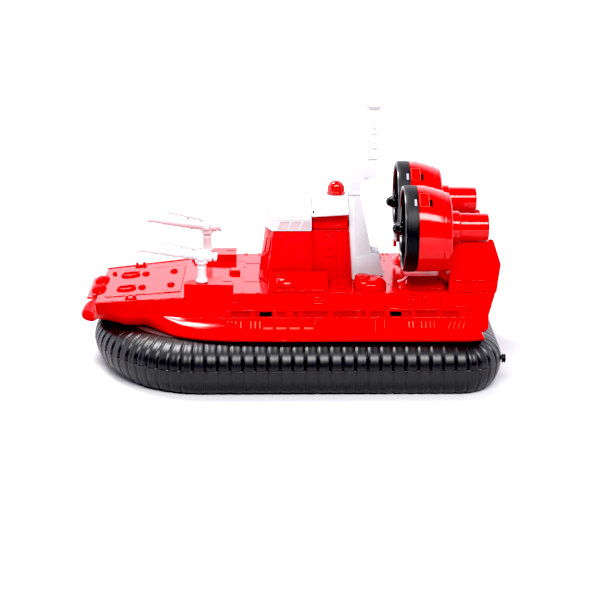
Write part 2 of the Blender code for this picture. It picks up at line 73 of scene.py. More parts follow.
class CraftColours(bpy.types.PropertyGroup):
    """Colours of the plastics."""

    hull_red: colour_property("Hull red", "Hull, cabin, ducts and deck mouldings", (0.56, 0.001, 0.002))
    house_white: colour_property("House white", "Bridge, roofs, tower, mast and water cannons",
                                 (0.565, 0.56, 0.59))
    skirt_black: colour_property("Skirt black", "Blow-moulded skirt", (0.0125, 0.0125, 0.0135))
    fan_black: colour_property("Fan black", "Front rings and rotors", (0.006, 0.006, 0.007))
    lamp_red: colour_property("Lamp red", "Beacon dome", (0.5, 0.004, 0.003))
    # The plate's brownish red is a painted reflection of the red hull above it, not dust.
    plate_reflected_red: colour_property("Deck plate", "Dusty flat plate on top of the skirt", (0.095, 0.05, 0.05))
    lip_black: colour_property("Fan lip", "Polished bright lip of the fans' front rings",
                               (0.03, 0.03, 0.035))
    # The pocket floors' darker red is painted shade.
    pocket_shade_red: colour_property("Pocket red", "Shaded floors of the hull's pockets",
                                (0.40, 0.0008, 0.0015))
    # The pale tiles on the front rings are a painted highlight, not catches.
    mid_grey: colour_property("Ring clip", "Small pale catches on the front rings", (0.36, 0.34, 0.37))
    # The raised lines' pale red is a painted highlight for the light they catch, not wear.
    highlight_red: colour_property("Edge red", "Raised lines that wear pale and catch the light",
                              (0.62, 0.045, 0.028))
    # The panes' greyish pink is painted shade of the recessed windows, not a tint.
    pane: colour_property("Pane", "Tinted panes behind the bridge windows", (0.50, 0.38, 0.40))


class CraftSizes(bpy.types.PropertyGroup):
    """Sizes of the repeated and rounded details."""

    edge_round: length_property("Edge rounding", "Radius on the edges of the red mouldings", 0.00045)
    skirt_ribs: IntProperty(name="Skirt ribs", description="Ribs round the skirt", default=95, min=12,
                            max=200)
    rib_depth: length_property("Rib groove depth", "How deep the groove between two ribs is", 0.0019)
    rib_dip: length_property("Rib dip", "Shallow hollow along the middle of each rib", 0.00028)
    seam_rise: length_property("Seam rise", "How far the skirt's parting line stands out", 0.00035)
    bar_rise: length_property("Bar rise", "How far the moulded bars stand out of the hull", BAR_RISE)
    pocket_depth: length_property("Pocket depth", "Depth of the shallow pockets along the hull", 0.0012)
    blade_count: IntProperty(name="Blades", description="Blades on each rotor", default=5, min=2, max=12)


class StudioSettings(bpy.types.PropertyGroup):
    """Camera and light."""

    azimuth: FloatProperty(name="Azimuth", description="Turn of the camera about the craft",
                           default=math.radians(-0.46), subtype="ANGLE")
    elevation: FloatProperty(name="Elevation", description="Height angle of the camera",
                             default=math.radians(20.0), subtype="ANGLE")
    distance: length_property("Distance", "Camera to the point it looks at", 1.3066)
    lens: FloatProperty(name="Lens", description="Focal length in millimetres", default=83.4, min=1.0,
                        unit="CAMERA")
    key_watts: FloatProperty(name="Key light", description="Power of the long softbox over the camera",
                             default=40.0, min=0.0, unit="POWER")
    top_watts: FloatProperty(name="Top light", description="Power of the small softbox overhead",
                             default=24.0, min=0.0, unit="POWER")
    backdrop: FloatProperty(name="Backdrop", description="Brightness behind the craft", default=2.1,
                            min=0.0)
    floor_tone: colour_property("Floor", "Plain pale floor", (0.63, 0.63, 0.64))


# Shapes


class Mould:
    """Gathers closed shells in the tables' millimetres; out() makes them one mesh in metres."""

    def __init__(self):
        self.shells = bmesh.new()

    def skin(self, rings):
        """A closed shell through rings of points, with a flat face on the first and the last ring."""
        rows = [[self.shells.verts.new(Vector(point)) for point in ring] for ring in rings]
        count = len(rows[0])
        for near, far in zip(rows, rows[1:]):
            for i in range(count):
                j = (i + 1) % count
                self.shells.faces.new((near[i], near[j], far[j], far[i]))
        self.shells.faces.new(rows[0][::-1])
        self.shells.faces.new(rows[-1])
        return self

    def prism(self, outline, axis, low, high):
        place = {"x": lambda p, t: (t, p[0], p[1]), "y": lambda p, t: (p[0], t, p[1]),
                 "z": lambda p, t: (p[0], p[1], t)}[axis]
        return self.skin([[place(point, t) for point in outline] for t in (low, high)])

    def block(self, x, y, z):
        return self.prism([(x[0], y[0]), (x[1], y[0]), (x[1], y[1]), (x[0], y[1])], "z", z[0], z[1])

    def turned(self, profile, centre, axis="x", sides=64):
        """Turns a profile of (along, radius, drop) about an axis; a radius of 0 closes it there."""
        centre = Vector(centre)
        spin = {"x": lambda a, r, t: (a, r * math.cos(t), r * math.sin(t)),
                "z": lambda a, r, t: (r * math.cos(t), r * math.sin(t), a)}[axis]
        rows = []
        for along, radius, *drop in profile:
            lower = Vector((0, 0, drop[0] if drop else 0))
            angles = [math.tau * k / sides for k in range(sides)] if radius else [0.0]
            rows.append([self.shells.verts.new(centre + Vector(spin(along, radius, t)) - lower)
                         for t in angles])
        pairs = list(zip(rows, rows[1:]))
        if profile[0][1]:
            pairs.append((rows[-1], rows[0]))
        for a, b in pairs:
            for k in range(sides):
                m = (k + 1) % sides
                corners = dict.fromkeys([a[k % len(a)], a[m % len(a)], b[m % len(b)], b[k % len(b)]])
                if len(corners) > 2:
                    self.shells.faces.new(list(corners))
        return self

    def rod(self, stops, sides=18):
        """A round bar through (point, radius) stops; each ring faces along the bar."""
        points = [Vector(point) for point, _ in stops]
        rings = []
        for k, (point, (_, radius)) in enumerate(zip(points, stops)):
            way = points[min(k + 1, len(points) - 1)] - points[max(k - 1, 0)]
            turn = way.to_track_quat("Z", "Y").to_matrix()
            rings.append([point + turn @ Vector((radius * math.cos(math.tau * n / sides),
                                                 radius * math.sin(math.tau * n / sides), 0))
                          for n in range(sides)])
        return self.skin(rings)

    def pad(self, x, y, half_x, half_y, rows, base, sides=28, square=1.0):
        """A low rounded pad on the foredeck: rows of (share of the outline, height above the base)."""
        rings = []
        for share, rise in rows:
            ring = []
            for k in range(sides):
                c, s = math.cos(math.tau * k / sides), math.sin(math.tau * k / sides)
                c, s = math.copysign(abs(c) ** square, c), math.copysign(abs(s) ** square, s)
                px = x + half_x * share * c
                ring.append((px, y + half_y * share * s, ramp_height(px) + base + rise))
            rings.append(ring)
        return self.skin(rings)

    def both_sides(self):
        """Adds the same shells on the other side of the craft."""
        parts = self.shells.verts[:] + self.shells.edges[:] + self.shells.faces[:]
        copy = bmesh.ops.duplicate(self.shells, geom=parts)["geom"]
        verts = [item for item in copy if isinstance(item, bmesh.types.BMVert)]
        bmesh.ops.scale(self.shells, vec=(1, -1, 1), verts=verts)
        return self

    def out(self, name, shift=SHIFT):
        bmesh.ops.remove_doubles(self.shells, verts=self.shells.verts, dist=0.0005)
        bmesh.ops.recalc_face_normals(self.shells, faces=self.shells.faces)
        for vertex in self.shells.verts:
            vertex.co = (vertex.co + Vector((shift, 0, 0))) * MM
        for face in self.shells.faces:
            face.smooth = True
        mesh = bpy.data.meshes.new(name)
        self.shells.to_mesh(mesh)
        self.shells.free()
        return mesh


def whole(half):
    """A closed ring from the points of its starboard half."""
    return [(x, -y, z) for x, y, z in half] + [(x, y, z) for x, y, z in reversed(half)]


def linked(name, mesh):
    made = bpy.data.objects.new(name, mesh)
    bpy.context.scene.collection.objects.link(made)
    return made


def baked(source):
    """The mesh an object shows with its modifiers, as a plain mesh."""
    bpy.context.view_layer.update()
    graph = bpy.context.evaluated_depsgraph_get()
    return bpy.data.meshes.new_from_object(source.evaluated_get(graph), preserve_all_data_layers=True,
                                           depsgraph=graph)


def seat(name, mesh, kind, body="craft", stands_for=()):
    """Gives a finished mesh its plastic and its body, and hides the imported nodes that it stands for."""
    mesh.materials.clear()
    mesh.materials.append(look(kind))
    made = linked(name, mesh)
    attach(made, body)
    kind in RECORD_SLOTS
    if stands_for:
        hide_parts(*stands_for)
    return made


def cast(name, mould, kind, body="craft", stands_for=(), cuts=(), round_by=None, angle=33.0):
    """Casts a mould: cuts come out of it, its edges are rounded, and it is seated on its body."""
    source = linked(name + "_blank", mould.out(name + "_blank"))
    tools = []
    for cut in cuts:
        tool = linked(name + "_tool", cut.out(name + "_tool"))
        step = source.modifiers.new("cut", "BOOLEAN")
        step.operation = "DIFFERENCE"
        step.solver = "EXACT"
        step.object = tool
        tools.append(tool)
    radius = bpy.context.scene.craft_sizes.edge_round if round_by is None else round_by * MM
    if radius:
        step = source.modifiers.new("round", "BEVEL")
        step.limit_method = "ANGLE"
        step.angle_limit = math.radians(angle)
        step.width = radius
        step.segments = 2
        step.use_clamp_overlap = False
        step.harden_normals = True
    mesh = baked(source)
    if not radius:
        mesh.set_sharp_from_angle(angle=math.radians(angle))
    for obj in [source] + tools:
        old = obj.data
        bpy.data.objects.remove(obj)
        bpy.data.meshes.remove(old)
    mesh.name = name
    return seat(name, mesh, kind, body, stands_for)


def second_finish(piece, kind, chosen):
    """Gives the faces of a piece that chosen(place, normal) picks a finish of their own."""
    piece.data.materials.append(look(kind))
    slot = len(piece.data.materials) - 1
    for face in piece.data.polygons:
        if chosen(face.center, face.normal):
            face.material_index = slot


def flowing(rows, steps):
    """A smooth run through rows of numbers (Catmull-Rom), with steps pieces between two rows."""
    out = []
    last = len(rows) - 1
    for k in range(last):
        a, b, c, d = (rows[max(0, min(last, n))] for n in (k - 1, k, k + 1, k + 2))
        for step in range(steps):
            t = step / steps
            out.append(tuple(0.5 * (2 * q + (r - p) * t + (2 * p - 5 * q + 4 * r - s) * t * t
                                    + (3 * q - p - 3 * r + s) * t ** 3)
                             for p, q, r, s in zip(a, b, c, d)))
    out.append(tuple(rows[-1]))
    return out


# Nodes: one small language for shader and geometry trees


class Flow:
    """A socket that Python's signs can do sums with."""

    def __init__(self, wires, socket):
        self.wires = wires
        self.socket = socket

    def sum(self, operation, other=None, swapped=False):
        pair = (other, self) if swapped else (self, other)
        values = {k: value for k, value in enumerate(pair) if value is not None}
        return self.wires.flow("ShaderNodeMath", {"operation": operation}, values)

    def __add__(self, other):
        return self.sum("ADD", other)

    __radd__ = __add__

    def __mul__(self, other):
        return self.sum("MULTIPLY", other)

    __rmul__ = __mul__

    def __sub__(self, other):
        return self.sum("SUBTRACT", other)

    def __rsub__(self, other):
        return self.sum("SUBTRACT", other, True)

    def __truediv__(self, other):
        return self.sum("DIVIDE", other)

    def __rtruediv__(self, other):
        return self.sum("DIVIDE", other, True)

    def __pow__(self, other):
        return self.sum("POWER", other)

    def __rpow__(self, other):
        return self.sum("POWER", other, True)


class Wires:
    """Adds nodes to a tree: a node's type, then its settings, then the values or flows of its sockets."""

    def __init__(self, tree):
        self.tree = tree

    def add(self, kind, settings=None, values=None):
        node = self.tree.nodes.new(kind)
        for key, value in (settings or {}).items():
            setattr(node, key, value)
        for key, value in (values or {}).items():
            if isinstance(value, Flow):
                self.tree.links.new(value.socket, node.inputs[key])
            else:
                node.inputs[key].default_value = value
        return node

    def flow(self, kind, settings=None, values=None, output=0):
        return Flow(self, self.add(kind, settings, values).outputs[output])

    def clamp(self, value, low, high, new_low=0.0, new_high=1.0):
        """Eases a value from one range to another, and stops at the ends."""
        return self.flow("ShaderNodeMapRange", {"interpolation_type": "SMOOTHSTEP"},
                         {"Value": value, "From Min": low, "From Max": high, "To Min": new_low,
                          "To Max": new_high})

    def blend(self, share, first, second):
        return self.flow("ShaderNodeMix", {"data_type": "RGBA"}, {0: share, 6: first, 7: second}, 2)


def tree_with(name, sockets):
    """A geometry tree with named inputs; returns its wires, its inputs by name and the output node."""
    tree = bpy.data.node_groups.new(name, "GeometryNodeTree")
    tree.interface.new_socket("Geometry", in_out="INPUT", socket_type="NodeSocketGeometry")
    tree.interface.new_socket("Geometry", in_out="OUTPUT", socket_type="NodeSocketGeometry")
    for label, kind in sockets:
        tree.interface.new_socket(label, in_out="INPUT", socket_type=kind)
    wires = Wires(tree)
    given = wires.add("NodeGroupInput")
    inputs = {socket.name: Flow(wires, socket) for socket in given.outputs if socket.name}
    return wires, inputs, wires.add("NodeGroupOutput")


def grown(name, mesh, tree, values):
    """Runs a geometry tree over a mesh and returns the plain mesh it makes."""
    source = linked(name + "_seed", mesh)
    step = source.modifiers.new("grow", "NODES")
    step.node_group = tree
    for item in tree.interface.items_tree:
        if item.item_type == "SOCKET" and item.in_out == "INPUT" and item.name in values:
            step[item.identifier] = values[item.name]
    made = baked(source)
    source.modifiers.remove(step)
    bpy.data.objects.remove(source)
    made.name = name
    return made


# Plastics

RECORD_SLOTS = {"hull_red": "red_plastic", "cabin_red": "red_plastic", "house_white": "white_plastic",
                "skirt_black": "skirt_plastic", "fan_black": "fan_plastic",
                "spinner_black": "fan_plastic", "deck_black": "skirt_plastic", "lamp_red": "lamp_plastic",
                "bow_shaded_red": "red_plastic", "pocket_shade_red": "red_plastic", "highlight_red": "red_plastic"}
FINISHES = {  # colour, roughness, its spread, mottling, grain size, grain strength, index, coat
    "hull_red": ("hull_red", 0.12, 0.05, 0.10, 420.0, 0.05, 1.47, 0.0),
    "house_white": ("house_white", 0.24, 0.06, 0.05, 520.0, 0.05, 1.45, 0.0),
    "skirt_black": ("skirt_black", 0.34, 0.12, 0.5, 900.0, 0.35, 1.51, 0.0),
    "fan_black": ("fan_black", 0.5, 0.10, 0.4, 1100.0, 0.12, 1.4, 0.0),
    "spinner_black": ("fan_black", 0.22, 0.08, 0.4, 900.0, 0.08, 1.5, 0.0),
    "lamp_red": ("lamp_red", 0.10, 0.04, 0.15, 300.0, 0.03, 1.49, 0.35),
    "deck_black": ("plate_reflected_red", 0.42, 0.10, 0.5, 700.0, 0.2, 1.5, 0.0),
    "lip_black": ("lip_black", 0.2, 0.05, 0.2, 600.0, 0.04, 2.3, 0.0),
    "mid_grey": ("mid_grey", 0.3, 0.05, 0.2, 600.0, 0.04, 1.5, 0.0),
    "cabin_red": ("hull_red", 0.17, 0.05, 0.10, 420.0, 0.05, 1.37, 0.0),
    # Duller copies of the hull red that take reflection away so faces look darker: painted shade.
    "bow_shaded_red": ("hull_red", 0.22, 0.05, 0.10, 420.0, 0.05, 1.2, 0.0),
    "nose_shaded_red": ("hull_red", 0.3, 0.05, 0.10, 420.0, 0.05, 1.07, 0.0),
    "pocket_shade_red": ("pocket_shade_red", 0.3, 0.05, 0.10, 420.0, 0.05, 1.36, 0.0),
    "highlight_red": ("highlight_red", 0.42, 0.05, 0.1, 420.0, 0.05, 1.4, 0.0),
    "shaded_pane": ("pane", 0.16, 0.06, 0.2, 260.0, 0.04, 1.49, 0.0),
}


def moulded_plastic(name):
    """Plastic with flow clouds in its colour and gloss, and a fine mould texture."""
    tone_name, roughness, spread, mottling, grain, strength, index, coat = FINISHES[name]
    tone = getattr(bpy.context.scene.craft_colours, tone_name)
    made = bpy.data.materials.new(name)
    made.use_nodes = True
    wires = Wires(made.node_tree)
    shader = made.node_tree.nodes["Principled BSDF"]
    place = wires.flow("ShaderNodeTexCoord", output="Object")
    cloud = wires.flow("ShaderNodeTexNoise", {}, {"Vector": place, "Scale": 42.0, "Detail": 3.0,
                                                  "Roughness": 0.55})
    streak_place = wires.flow("ShaderNodeMapping", {}, {"Vector": place, "Scale": (1.0, 1.0, 0.22)})
    streak = wires.flow("ShaderNodeTexNoise", {}, {"Vector": streak_place, "Scale": 260.0, "Detail": 4.0,
                                                   "Roughness": 0.6})
    fine = wires.flow("ShaderNodeTexNoise", {}, {"Vector": place, "Scale": grain, "Detail": 2.0,
                                                 "Roughness": 0.5})
    deep = tuple(channel * 0.72 for channel in tone)
    pale = tuple(min(1.0, channel * 1.06 + 0.002) for channel in tone)
    colour = wires.blend(wires.clamp(cloud, 0.35, 0.75) * mottling, (*tone, 1.0), (*deep, 1.0))
    colour = wires.blend(wires.clamp(streak, 0.55, 0.8) * mottling, colour, (*pale, 1.0))
    gloss = (cloud - 0.5) * spread + (streak - 0.5) * (spread * 0.6) + roughness
    bump = wires.flow("ShaderNodeBump", {}, {"Strength": strength, "Distance": 0.0001, "Height": fine})
    for socket, value in (("Base Color", colour), ("Roughness", gloss), ("Normal", bump)):
        made.node_tree.links.new(value.socket, shader.inputs[socket])
    shader.inputs["IOR"].default_value = index
    if coat:
        shader.inputs["Coat Weight"].default_value = coat
        shader.inputs["Coat Roughness"].default_value = 0.04
    return made


RECESSES = {"open_dark": (0.006, 0.0005, 0.0005), "slot_red": (0.09, 0.0002, 0.0012)}


def recess(name):
    """The unlit inside that shows through a slot, matt and dusty."""
    tone = RECESSES[name]
    made = bpy.data.materials.new(name)
    made.use_nodes = True
    wires = Wires(made.node_tree)
    shader = made.node_tree.nodes["Principled BSDF"]
    place = wires.flow("ShaderNodeTexCoord", output="Object")
    dust = wires.flow("ShaderNodeTexNoise", {}, {"Vector": place, "Scale": 300.0, "Detail": 3.0})
    colour = wires.blend(wires.clamp(dust, 0.4, 0.8), (*tone, 1.0),
                         tuple(channel * 1.5 for channel in tone) + (1.0,))
    made.node_tree.links.new(colour.socket, shader.inputs["Base Color"])
    made.node_tree.links.new((dust * 0.2 + 0.6).socket, shader.inputs["Roughness"])
    shader.inputs["Specular IOR Level"].default_value = 0.1
    return made


def look(name):
    """A finish by name, made the first time that it is asked for."""
    if name in bpy.data.materials:
        return bpy.data.materials[name]
    return recess(name) if name in RECESSES else moulded_plastic(name)


# Moulded bars: slats, louvres, rails and ribs set on a surface


def bar_blank():
    """A unit half-round bar with eased ends: length along x, width along y, rise along z."""
    mould = Mould()
    rings = []
    for x, share in ((-0.5, 0.75), (-0.485, 0.93), (-0.46, 1.0), (0.46, 1.0), (0.485, 0.93), (0.5, 0.75)):
        ring = [(x, -0.5 * share, -0.4), (x, 0.5 * share, -0.4)]
        for k in range(9):
            t = math.pi * k / 8
            ring.append((x, 0.5 * share * math.cos(t), share * (0.1 + 0.9 * math.sin(t))))
        rings.append(ring)
    return linked("bar_blank", mould.skin(rings).out("bar_blank", 0.0))


def bar_tree():
    wires, given, result = tree_with("Bars on a surface", (
        ("Bar", "NodeSocketObject"), ("Width", "NodeSocketFloat"), ("Rise", "NodeSocketFloat"),
        ("Finish", "NodeSocketMaterial")))
    shape = wires.flow("GeometryNodeObjectInfo", {}, {"Object": given["Bar"]}, "Geometry")
    turn = wires.flow("GeometryNodeInputNamedAttribute", {"data_type": "FLOAT_VECTOR"}, {"Name": "turn"})
    size = wires.flow("GeometryNodeInputNamedAttribute", {"data_type": "FLOAT_VECTOR"}, {"Name": "size"})
    factor = wires.flow("ShaderNodeCombineXYZ", {}, {"X": 1.0, "Y": given["Width"], "Z": given["Rise"]})
    scale = wires.flow("ShaderNodeVectorMath", {"operation": "MULTIPLY"}, {0: size, 1: factor})
    bars = wires.flow("GeometryNodeInstanceOnPoints", {}, {"Points": given["Geometry"], "Instance": shape,
                                                           "Rotation": turn, "Scale": scale})
    real = wires.flow("GeometryNodeRealizeInstances", {}, {"Geometry": bars})
    dressed = wires.flow("GeometryNodeSetMaterial", {}, {"Geometry": real, "Material": given["Finish"]})
    wires.tree.links.new(dressed.socket, result.inputs[0])
    return wires.tree


def bars(name, rows, kind, body="craft"):
    """Sets bars on a surface; each row is (start, end, width, rise, outward way)."""
    blank = bpy.data.objects.get("bar_blank") or bar_blank()
    tree = bpy.data.node_groups.get("Bars on a surface") or bar_tree()
    seeds = bpy.data.meshes.new(name + "_seed")
    places, turns, sizes = [], [], []
    for start, end, width, rise, outward in rows:
        a, b = Vector(start), Vector(end)
        along = (b - a).normalized()
        up = Vector(outward)
        up = (up - along * up.dot(along)).normalized()
        turn = Matrix((along, up.cross(along), up)).transposed().to_euler()
        places.append(((a + b) / 2 + Vector((SHIFT, 0, 0))) * MM)
        turns.append(tuple(turn))
        # The blank bar is one millimetre long, so it is scaled by sizes in millimetres
        sizes.append(((b - a).length, width, rise))
    seeds.from_pydata([tuple(p) for p in places], [], [])
    for label, values in (("turn", turns), ("size", sizes)):
        layer = seeds.attributes.new(label, "FLOAT_VECTOR", "POINT")
        layer.data.foreach_set("vector", [number for value in values for number in value])
    scale = bpy.context.scene.craft_sizes.bar_rise / BAR_RISE
    mesh = grown(name, seeds, tree, {"Bar": blank, "Width": 1.0, "Rise": scale, "Finish": look(kind)})
    mesh.set_sharp_from_angle(angle=math.radians(52))
    return seat(name, mesh, kind, body)


def mirrored(rows):
    """The rows and their reflections on the other side."""
    out = list(rows)
    for start, end, width, rise, outward in rows:
        out.append(((start[0], -start[1], start[2]), (end[0], -end[1], end[2]), width, rise,
                    (outward[0], -outward[1], outward[2])))
    return out


# Skirt

SKIRT_HALF = 106.0
BOW_CENTRE = -84.0
STERN = 183.5
CORNER = 40.0
SKIRT_OUTSIDE = (  # inset from the widest line, height, share of the rib groove, further inset at the bow
    (27.0, 46.2, 0.0, 0.0), (24.0, 46.1, 0.0, 0.0), (21.0, 45.5, 0.15, 0.0), (17.5, 44.6, 0.6, 0.0),
    (14.0, 43.4, 0.9, 0.0), (9.8, 41.3, 1.0, 0.0), (6.0, 38.6, 1.0, 0.0), (3.1, 35.2, 1.0, 0.0),
    (1.2, 31.5, 1.0, 0.0), (0.3, 28.0, 0.95, 0.0), (0.0, 25.6, 0.85, 0.0), (0.0, 24.9, 0.6, 0.0),
    (0.0, 24.5, 0.5, 0.0), (0.0, 24.1, 0.55, 0.0), (0.0, 23.4, 0.7, 0.0), (0.2, 20.0, 0.6, 0.2),
    (0.7, 16.5, 0.5, 0.5), (1.7, 12.0, 0.42, 1.2), (3.2, 8.0, 0.45, 2.3), (4.8, 4.8, 0.55, 3.4),
    (6.8, 2.0, 0.6, 4.7), (8.8, 0.6, 0.35, 5.8), (11.0, 0.0, 0.0, 7.0))
SKIRT_INSIDE = ((30.0, 0.0), (31.0, 6.0), (34.0, 40.0), (34.0, 46.2))
RIB_START = 0.86
SEAM_HEIGHT = 24.5
DECK_PLATE = (  # inset from the widest line, height
    (26.4, 44.4), (26.0, 44.8), (26.0, 46.1), (26.4, 46.45))
PLUG = (  # along, radius
    (0.0, 0.0), (0.0, 4.1), (0.5, 4.2), (1.0, 3.5), (1.6, 3.3), (2.0, 3.9), (2.6, 3.9), (2.9, 3.4),
    (2.9, 1.6), (2.4, 1.2), (2.4, 0.0))


def skirt_walk():
    """The skirt's plan line, anticlockwise from amidships astern: pieces of (length, place and way out)."""
    flat = SKIRT_HALF - CORNER
    middle = STERN - CORNER

    def straight(x0, y0, x1, y1):
        length = math.hypot(x1 - x0, y1 - y0)
        ux, uy = (x1 - x0) / length, (y1 - y0) / length
        return length, lambda s: (x0 + ux * s, y0 + uy * s, uy, -ux)

    def arc(cx, cy, radius, begin, end):
        def at(s):
            t = begin + s / radius
            return cx + radius * math.cos(t), cy + radius * math.sin(t), math.cos(t), math.sin(t)
        return radius * (end - begin), at

    quarter = math.pi / 2
    return (straight(STERN, 0, STERN, flat), arc(middle, flat, CORNER, 0, quarter),
            straight(middle, SKIRT_HALF, BOW_CENTRE, SKIRT_HALF),
            arc(BOW_CENTRE, 0, SKIRT_HALF, quarter, 3 * quarter),
            straight(BOW_CENTRE, -SKIRT_HALF, middle, -SKIRT_HALF),
            arc(middle, -flat, CORNER, -quarter, 0), straight(STERN, -flat, STERN, 0))


WALK = skirt_walk()
WALK_LENGTH = sum(length for length, _ in WALK)


def walk(share):
    s = (share % 1.0) * WALK_LENGTH
    for length, at in WALK:
        if s <= length:
            return at(s)
        s -= length
    return WALK[-1][1](WALK[-1][0])


def skirt_seed(ribs, samples):
    """A smooth skirt with what its rib tree reads: place along the walk, way out, and the groove's share."""
    outside = flowing(SKIRT_OUTSIDE, 2)
    section = outside + [(inset, height, 0.0, 0.0) for inset, height in SKIRT_INSIDE]
    columns = ribs * samples
    points, along, outward, share = [], [], [], []
    for column in range(columns):
        x, y, nx, ny = walk(column / columns)
        for inset, height, groove, tuck in section:
            inset += tuck * min(nx, 0.0) ** 2
            points.append(((x - nx * inset + SHIFT) * MM, (y - ny * inset) * MM, height * MM))
            along.append(column / columns)
            outward.append((nx, ny, 0.0))
            share.append(groove)
    count = len(section)
    faces = []
    for column in range(columns):
        here, there = column * count, (column + 1) % columns * count
        for k in range(count):
            m = (k + 1) % count
            faces.append((here + k, there + k, there + m, here + m))
    mesh = bpy.data.meshes.new("skirt_seed")
    mesh.from_pydata(points, [], faces)
    for label, kind, field, values in (("along", "FLOAT", "value", along),
                                       ("share", "FLOAT", "value", share),
                                       ("outward", "FLOAT_VECTOR", "vector",
                                        [n for v in outward for n in v])):
        mesh.attributes.new(label, kind, "POINT").data.foreach_set(field, values)
    return mesh


def rib_tree():
    wires, given, result = tree_with("Skirt ribs", (
        ("Ribs", "NodeSocketInt"), ("Groove depth", "NodeSocketFloat"), ("Middle dip", "NodeSocketFloat"),
        ("Seam height", "NodeSocketFloat"), ("Seam rise", "NodeSocketFloat"),
        ("Finish", "NodeSocketMaterial")))

    def named(label, kind):
        return wires.flow("GeometryNodeInputNamedAttribute", {"data_type": kind}, {"Name": label})

    phase = (named("along", "FLOAT") * given["Ribs"] - RIB_START).sum("FRACT")
    edge = phase.sum("MINIMUM", 1.0 - phase)
    groove = 1.0 / ((edge / 0.085) ** 3.0 + 1.0)
    dip = 1.0 / (((0.5 - edge) / 0.13) ** 4.0 + 1.0)
    place = wires.flow("GeometryNodeInputPosition")
    height = wires.flow("ShaderNodeSeparateXYZ", {}, {0: place}, "Z")
    off_seam = (height - given["Seam height"]).sum("ABSOLUTE") / 0.00045
    seam = 1.0 / (off_seam ** 4.0 + 1.0) * given["Seam rise"]
    inward = named("share", "FLOAT") * (groove * given["Groove depth"] + dip * given["Middle dip"]) - seam
    push = wires.flow("ShaderNodeVectorMath", {"operation": "SCALE"},
                      {0: named("outward", "FLOAT_VECTOR"), "Scale": inward * -1.0})
    shaped = wires.flow("GeometryNodeSetPosition", {}, {"Geometry": given["Geometry"], "Offset": push})
    smooth = wires.flow("GeometryNodeSetShadeSmooth", {}, {"Geometry": shaped})
    real = wires.flow("GeometryNodeRealizeInstances", {}, {"Geometry": smooth})
    dressed = wires.flow("GeometryNodeSetMaterial", {}, {"Geometry": real, "Material": given["Finish"]})
    wires.tree.links.new(dressed.socket, result.inputs[0])
    return wires.tree


def build_skirt():
    sizes = bpy.context.scene.craft_sizes
    mesh = grown("skirt_moulding", skirt_seed(sizes.skirt_ribs, 14), rib_tree(), {
        "Ribs": sizes.skirt_ribs, "Groove depth": sizes.rib_depth, "Middle dip": sizes.rib_dip,
        "Seam height": SEAM_HEIGHT * MM, "Seam rise": sizes.seam_rise, "Finish": look("skirt_black")})
    for label in ("along", "share", "outward"):
        mesh.attributes.remove(mesh.attributes[label])
    work = bmesh.new()
    work.from_mesh(mesh)
    bmesh.ops.recalc_face_normals(work, faces=work.faces)
    work.to_mesh(mesh)
    work.free()
    mesh.set_sharp_from_angle(angle=math.radians(60))
    seat("skirt_moulding", mesh, "skirt_black", stands_for=("skirt",))

    def plan(inset, count=160):
        rows = []
        for k in range(count):
            x, y, nx, ny = walk(k / count)
            rows.append((x - nx * inset, y - ny * inset))
        return rows

    rings = [[(x, y, z) for x, y in plan(inset)] for inset, z in DECK_PLATE]
    # The plate's brownish red is a painted reflection of the red hull.
    cast("deck_plate", Mould().skin(rings), "deck_black", stands_for=("skirt_deck",), round_by=0.0)
    cast("filling_plug", Mould().turned(PLUG, (STERN + 0.3, -73.0, 24.0), sides=28), "skirt_black",
         stands_for=("stern_plug",), round_by=0.12)


# Hull

HULL = (  # x, bottom z, bottom y, lip y, lip z, knuckle y, knuckle z, deck y, deck z
    (-202.0, 40.6, 4.0, 6.0, 41.6, 6.0, 43.0, 4.0, 44.0),
    (-200.5, 39.3, 9.0, 12.5, 41.5, 12.5, 44.5, 9.0, 46.2),
    (-196.5, 38.5, 13.0, 18.5, 41.5, 18.5, 46.0, 14.0, 48.4),
    (-191.0, 39.4, 18.0, 25.0, 42.5, 25.0, 47.0, 20.0, 49.6),
    (-187.0, 42.0, 21.0, 30.0, 44.5, 31.0, 49.6, 27.0, 52.4),
    (-184.6, 44.6, 26.0, 33.0, 47.0, 38.0, 54.0, 38.0, 59.0),
    (-182.5, 46.7, 30.0, 35.0, 48.5, 44.0, 58.0, 49.5, 69.0),
    (-172.6, 46.7, 34.4, 39.5, 49.3, 47.0, 59.0, 50.3, 69.9),
    (-162.6, 46.7, 40.7, 45.5, 49.4, 50.0, 59.5, 51.2, 70.8),
    (-157.0, 46.7, 45.5, 49.5, 49.4, 51.5, 59.7, 51.7, 71.3),
    (-150.0, 46.7, 47.6, 50.8, 49.2, 53.0, 59.8, 52.6, 72.0),
    (-137.0, 46.7, 48.5, 52.0, 49.0, 54.8, 60.0, 53.7, 73.2),
    (-127.7, 46.7, 57.6, 60.0, 49.0, 57.4, 60.2, 54.6, 74.0),
    (-120.0, 46.7, 65.3, 67.5, 49.0, 59.8, 60.4, 55.2, 74.7),
    (-112.4, 46.7, 73.0, 74.5, 49.0, 62.0, 60.5, 56.0, 75.4),
    (-104.6, 46.7, 78.2, 79.5, 49.0, 63.9, 60.6, 56.9, 76.1),
    (-95.0, 46.7, 82.0, 83.2, 48.9, 65.0, 60.6, 56.8, 79.1),
    (-89.0, 46.7, 83.9, 85.0, 48.8, 65.4, 60.6, 56.5, 81.0),
    (-84.0, 46.7, 85.2, 86.4, 48.8, 65.8, 60.6, 56.8, 81.0),
    (-60.2, 46.7, 88.4, 89.4, 48.8, 66.5, 60.6, 57.5, 81.0),
    (-30.0, 46.7, 89.6, 90.6, 48.8, 66.5, 60.6, 57.5, 81.0),
    (152.0, 46.7, 89.6, 90.6, 48.8, 66.5, 60.6, 57.5, 81.0),
)
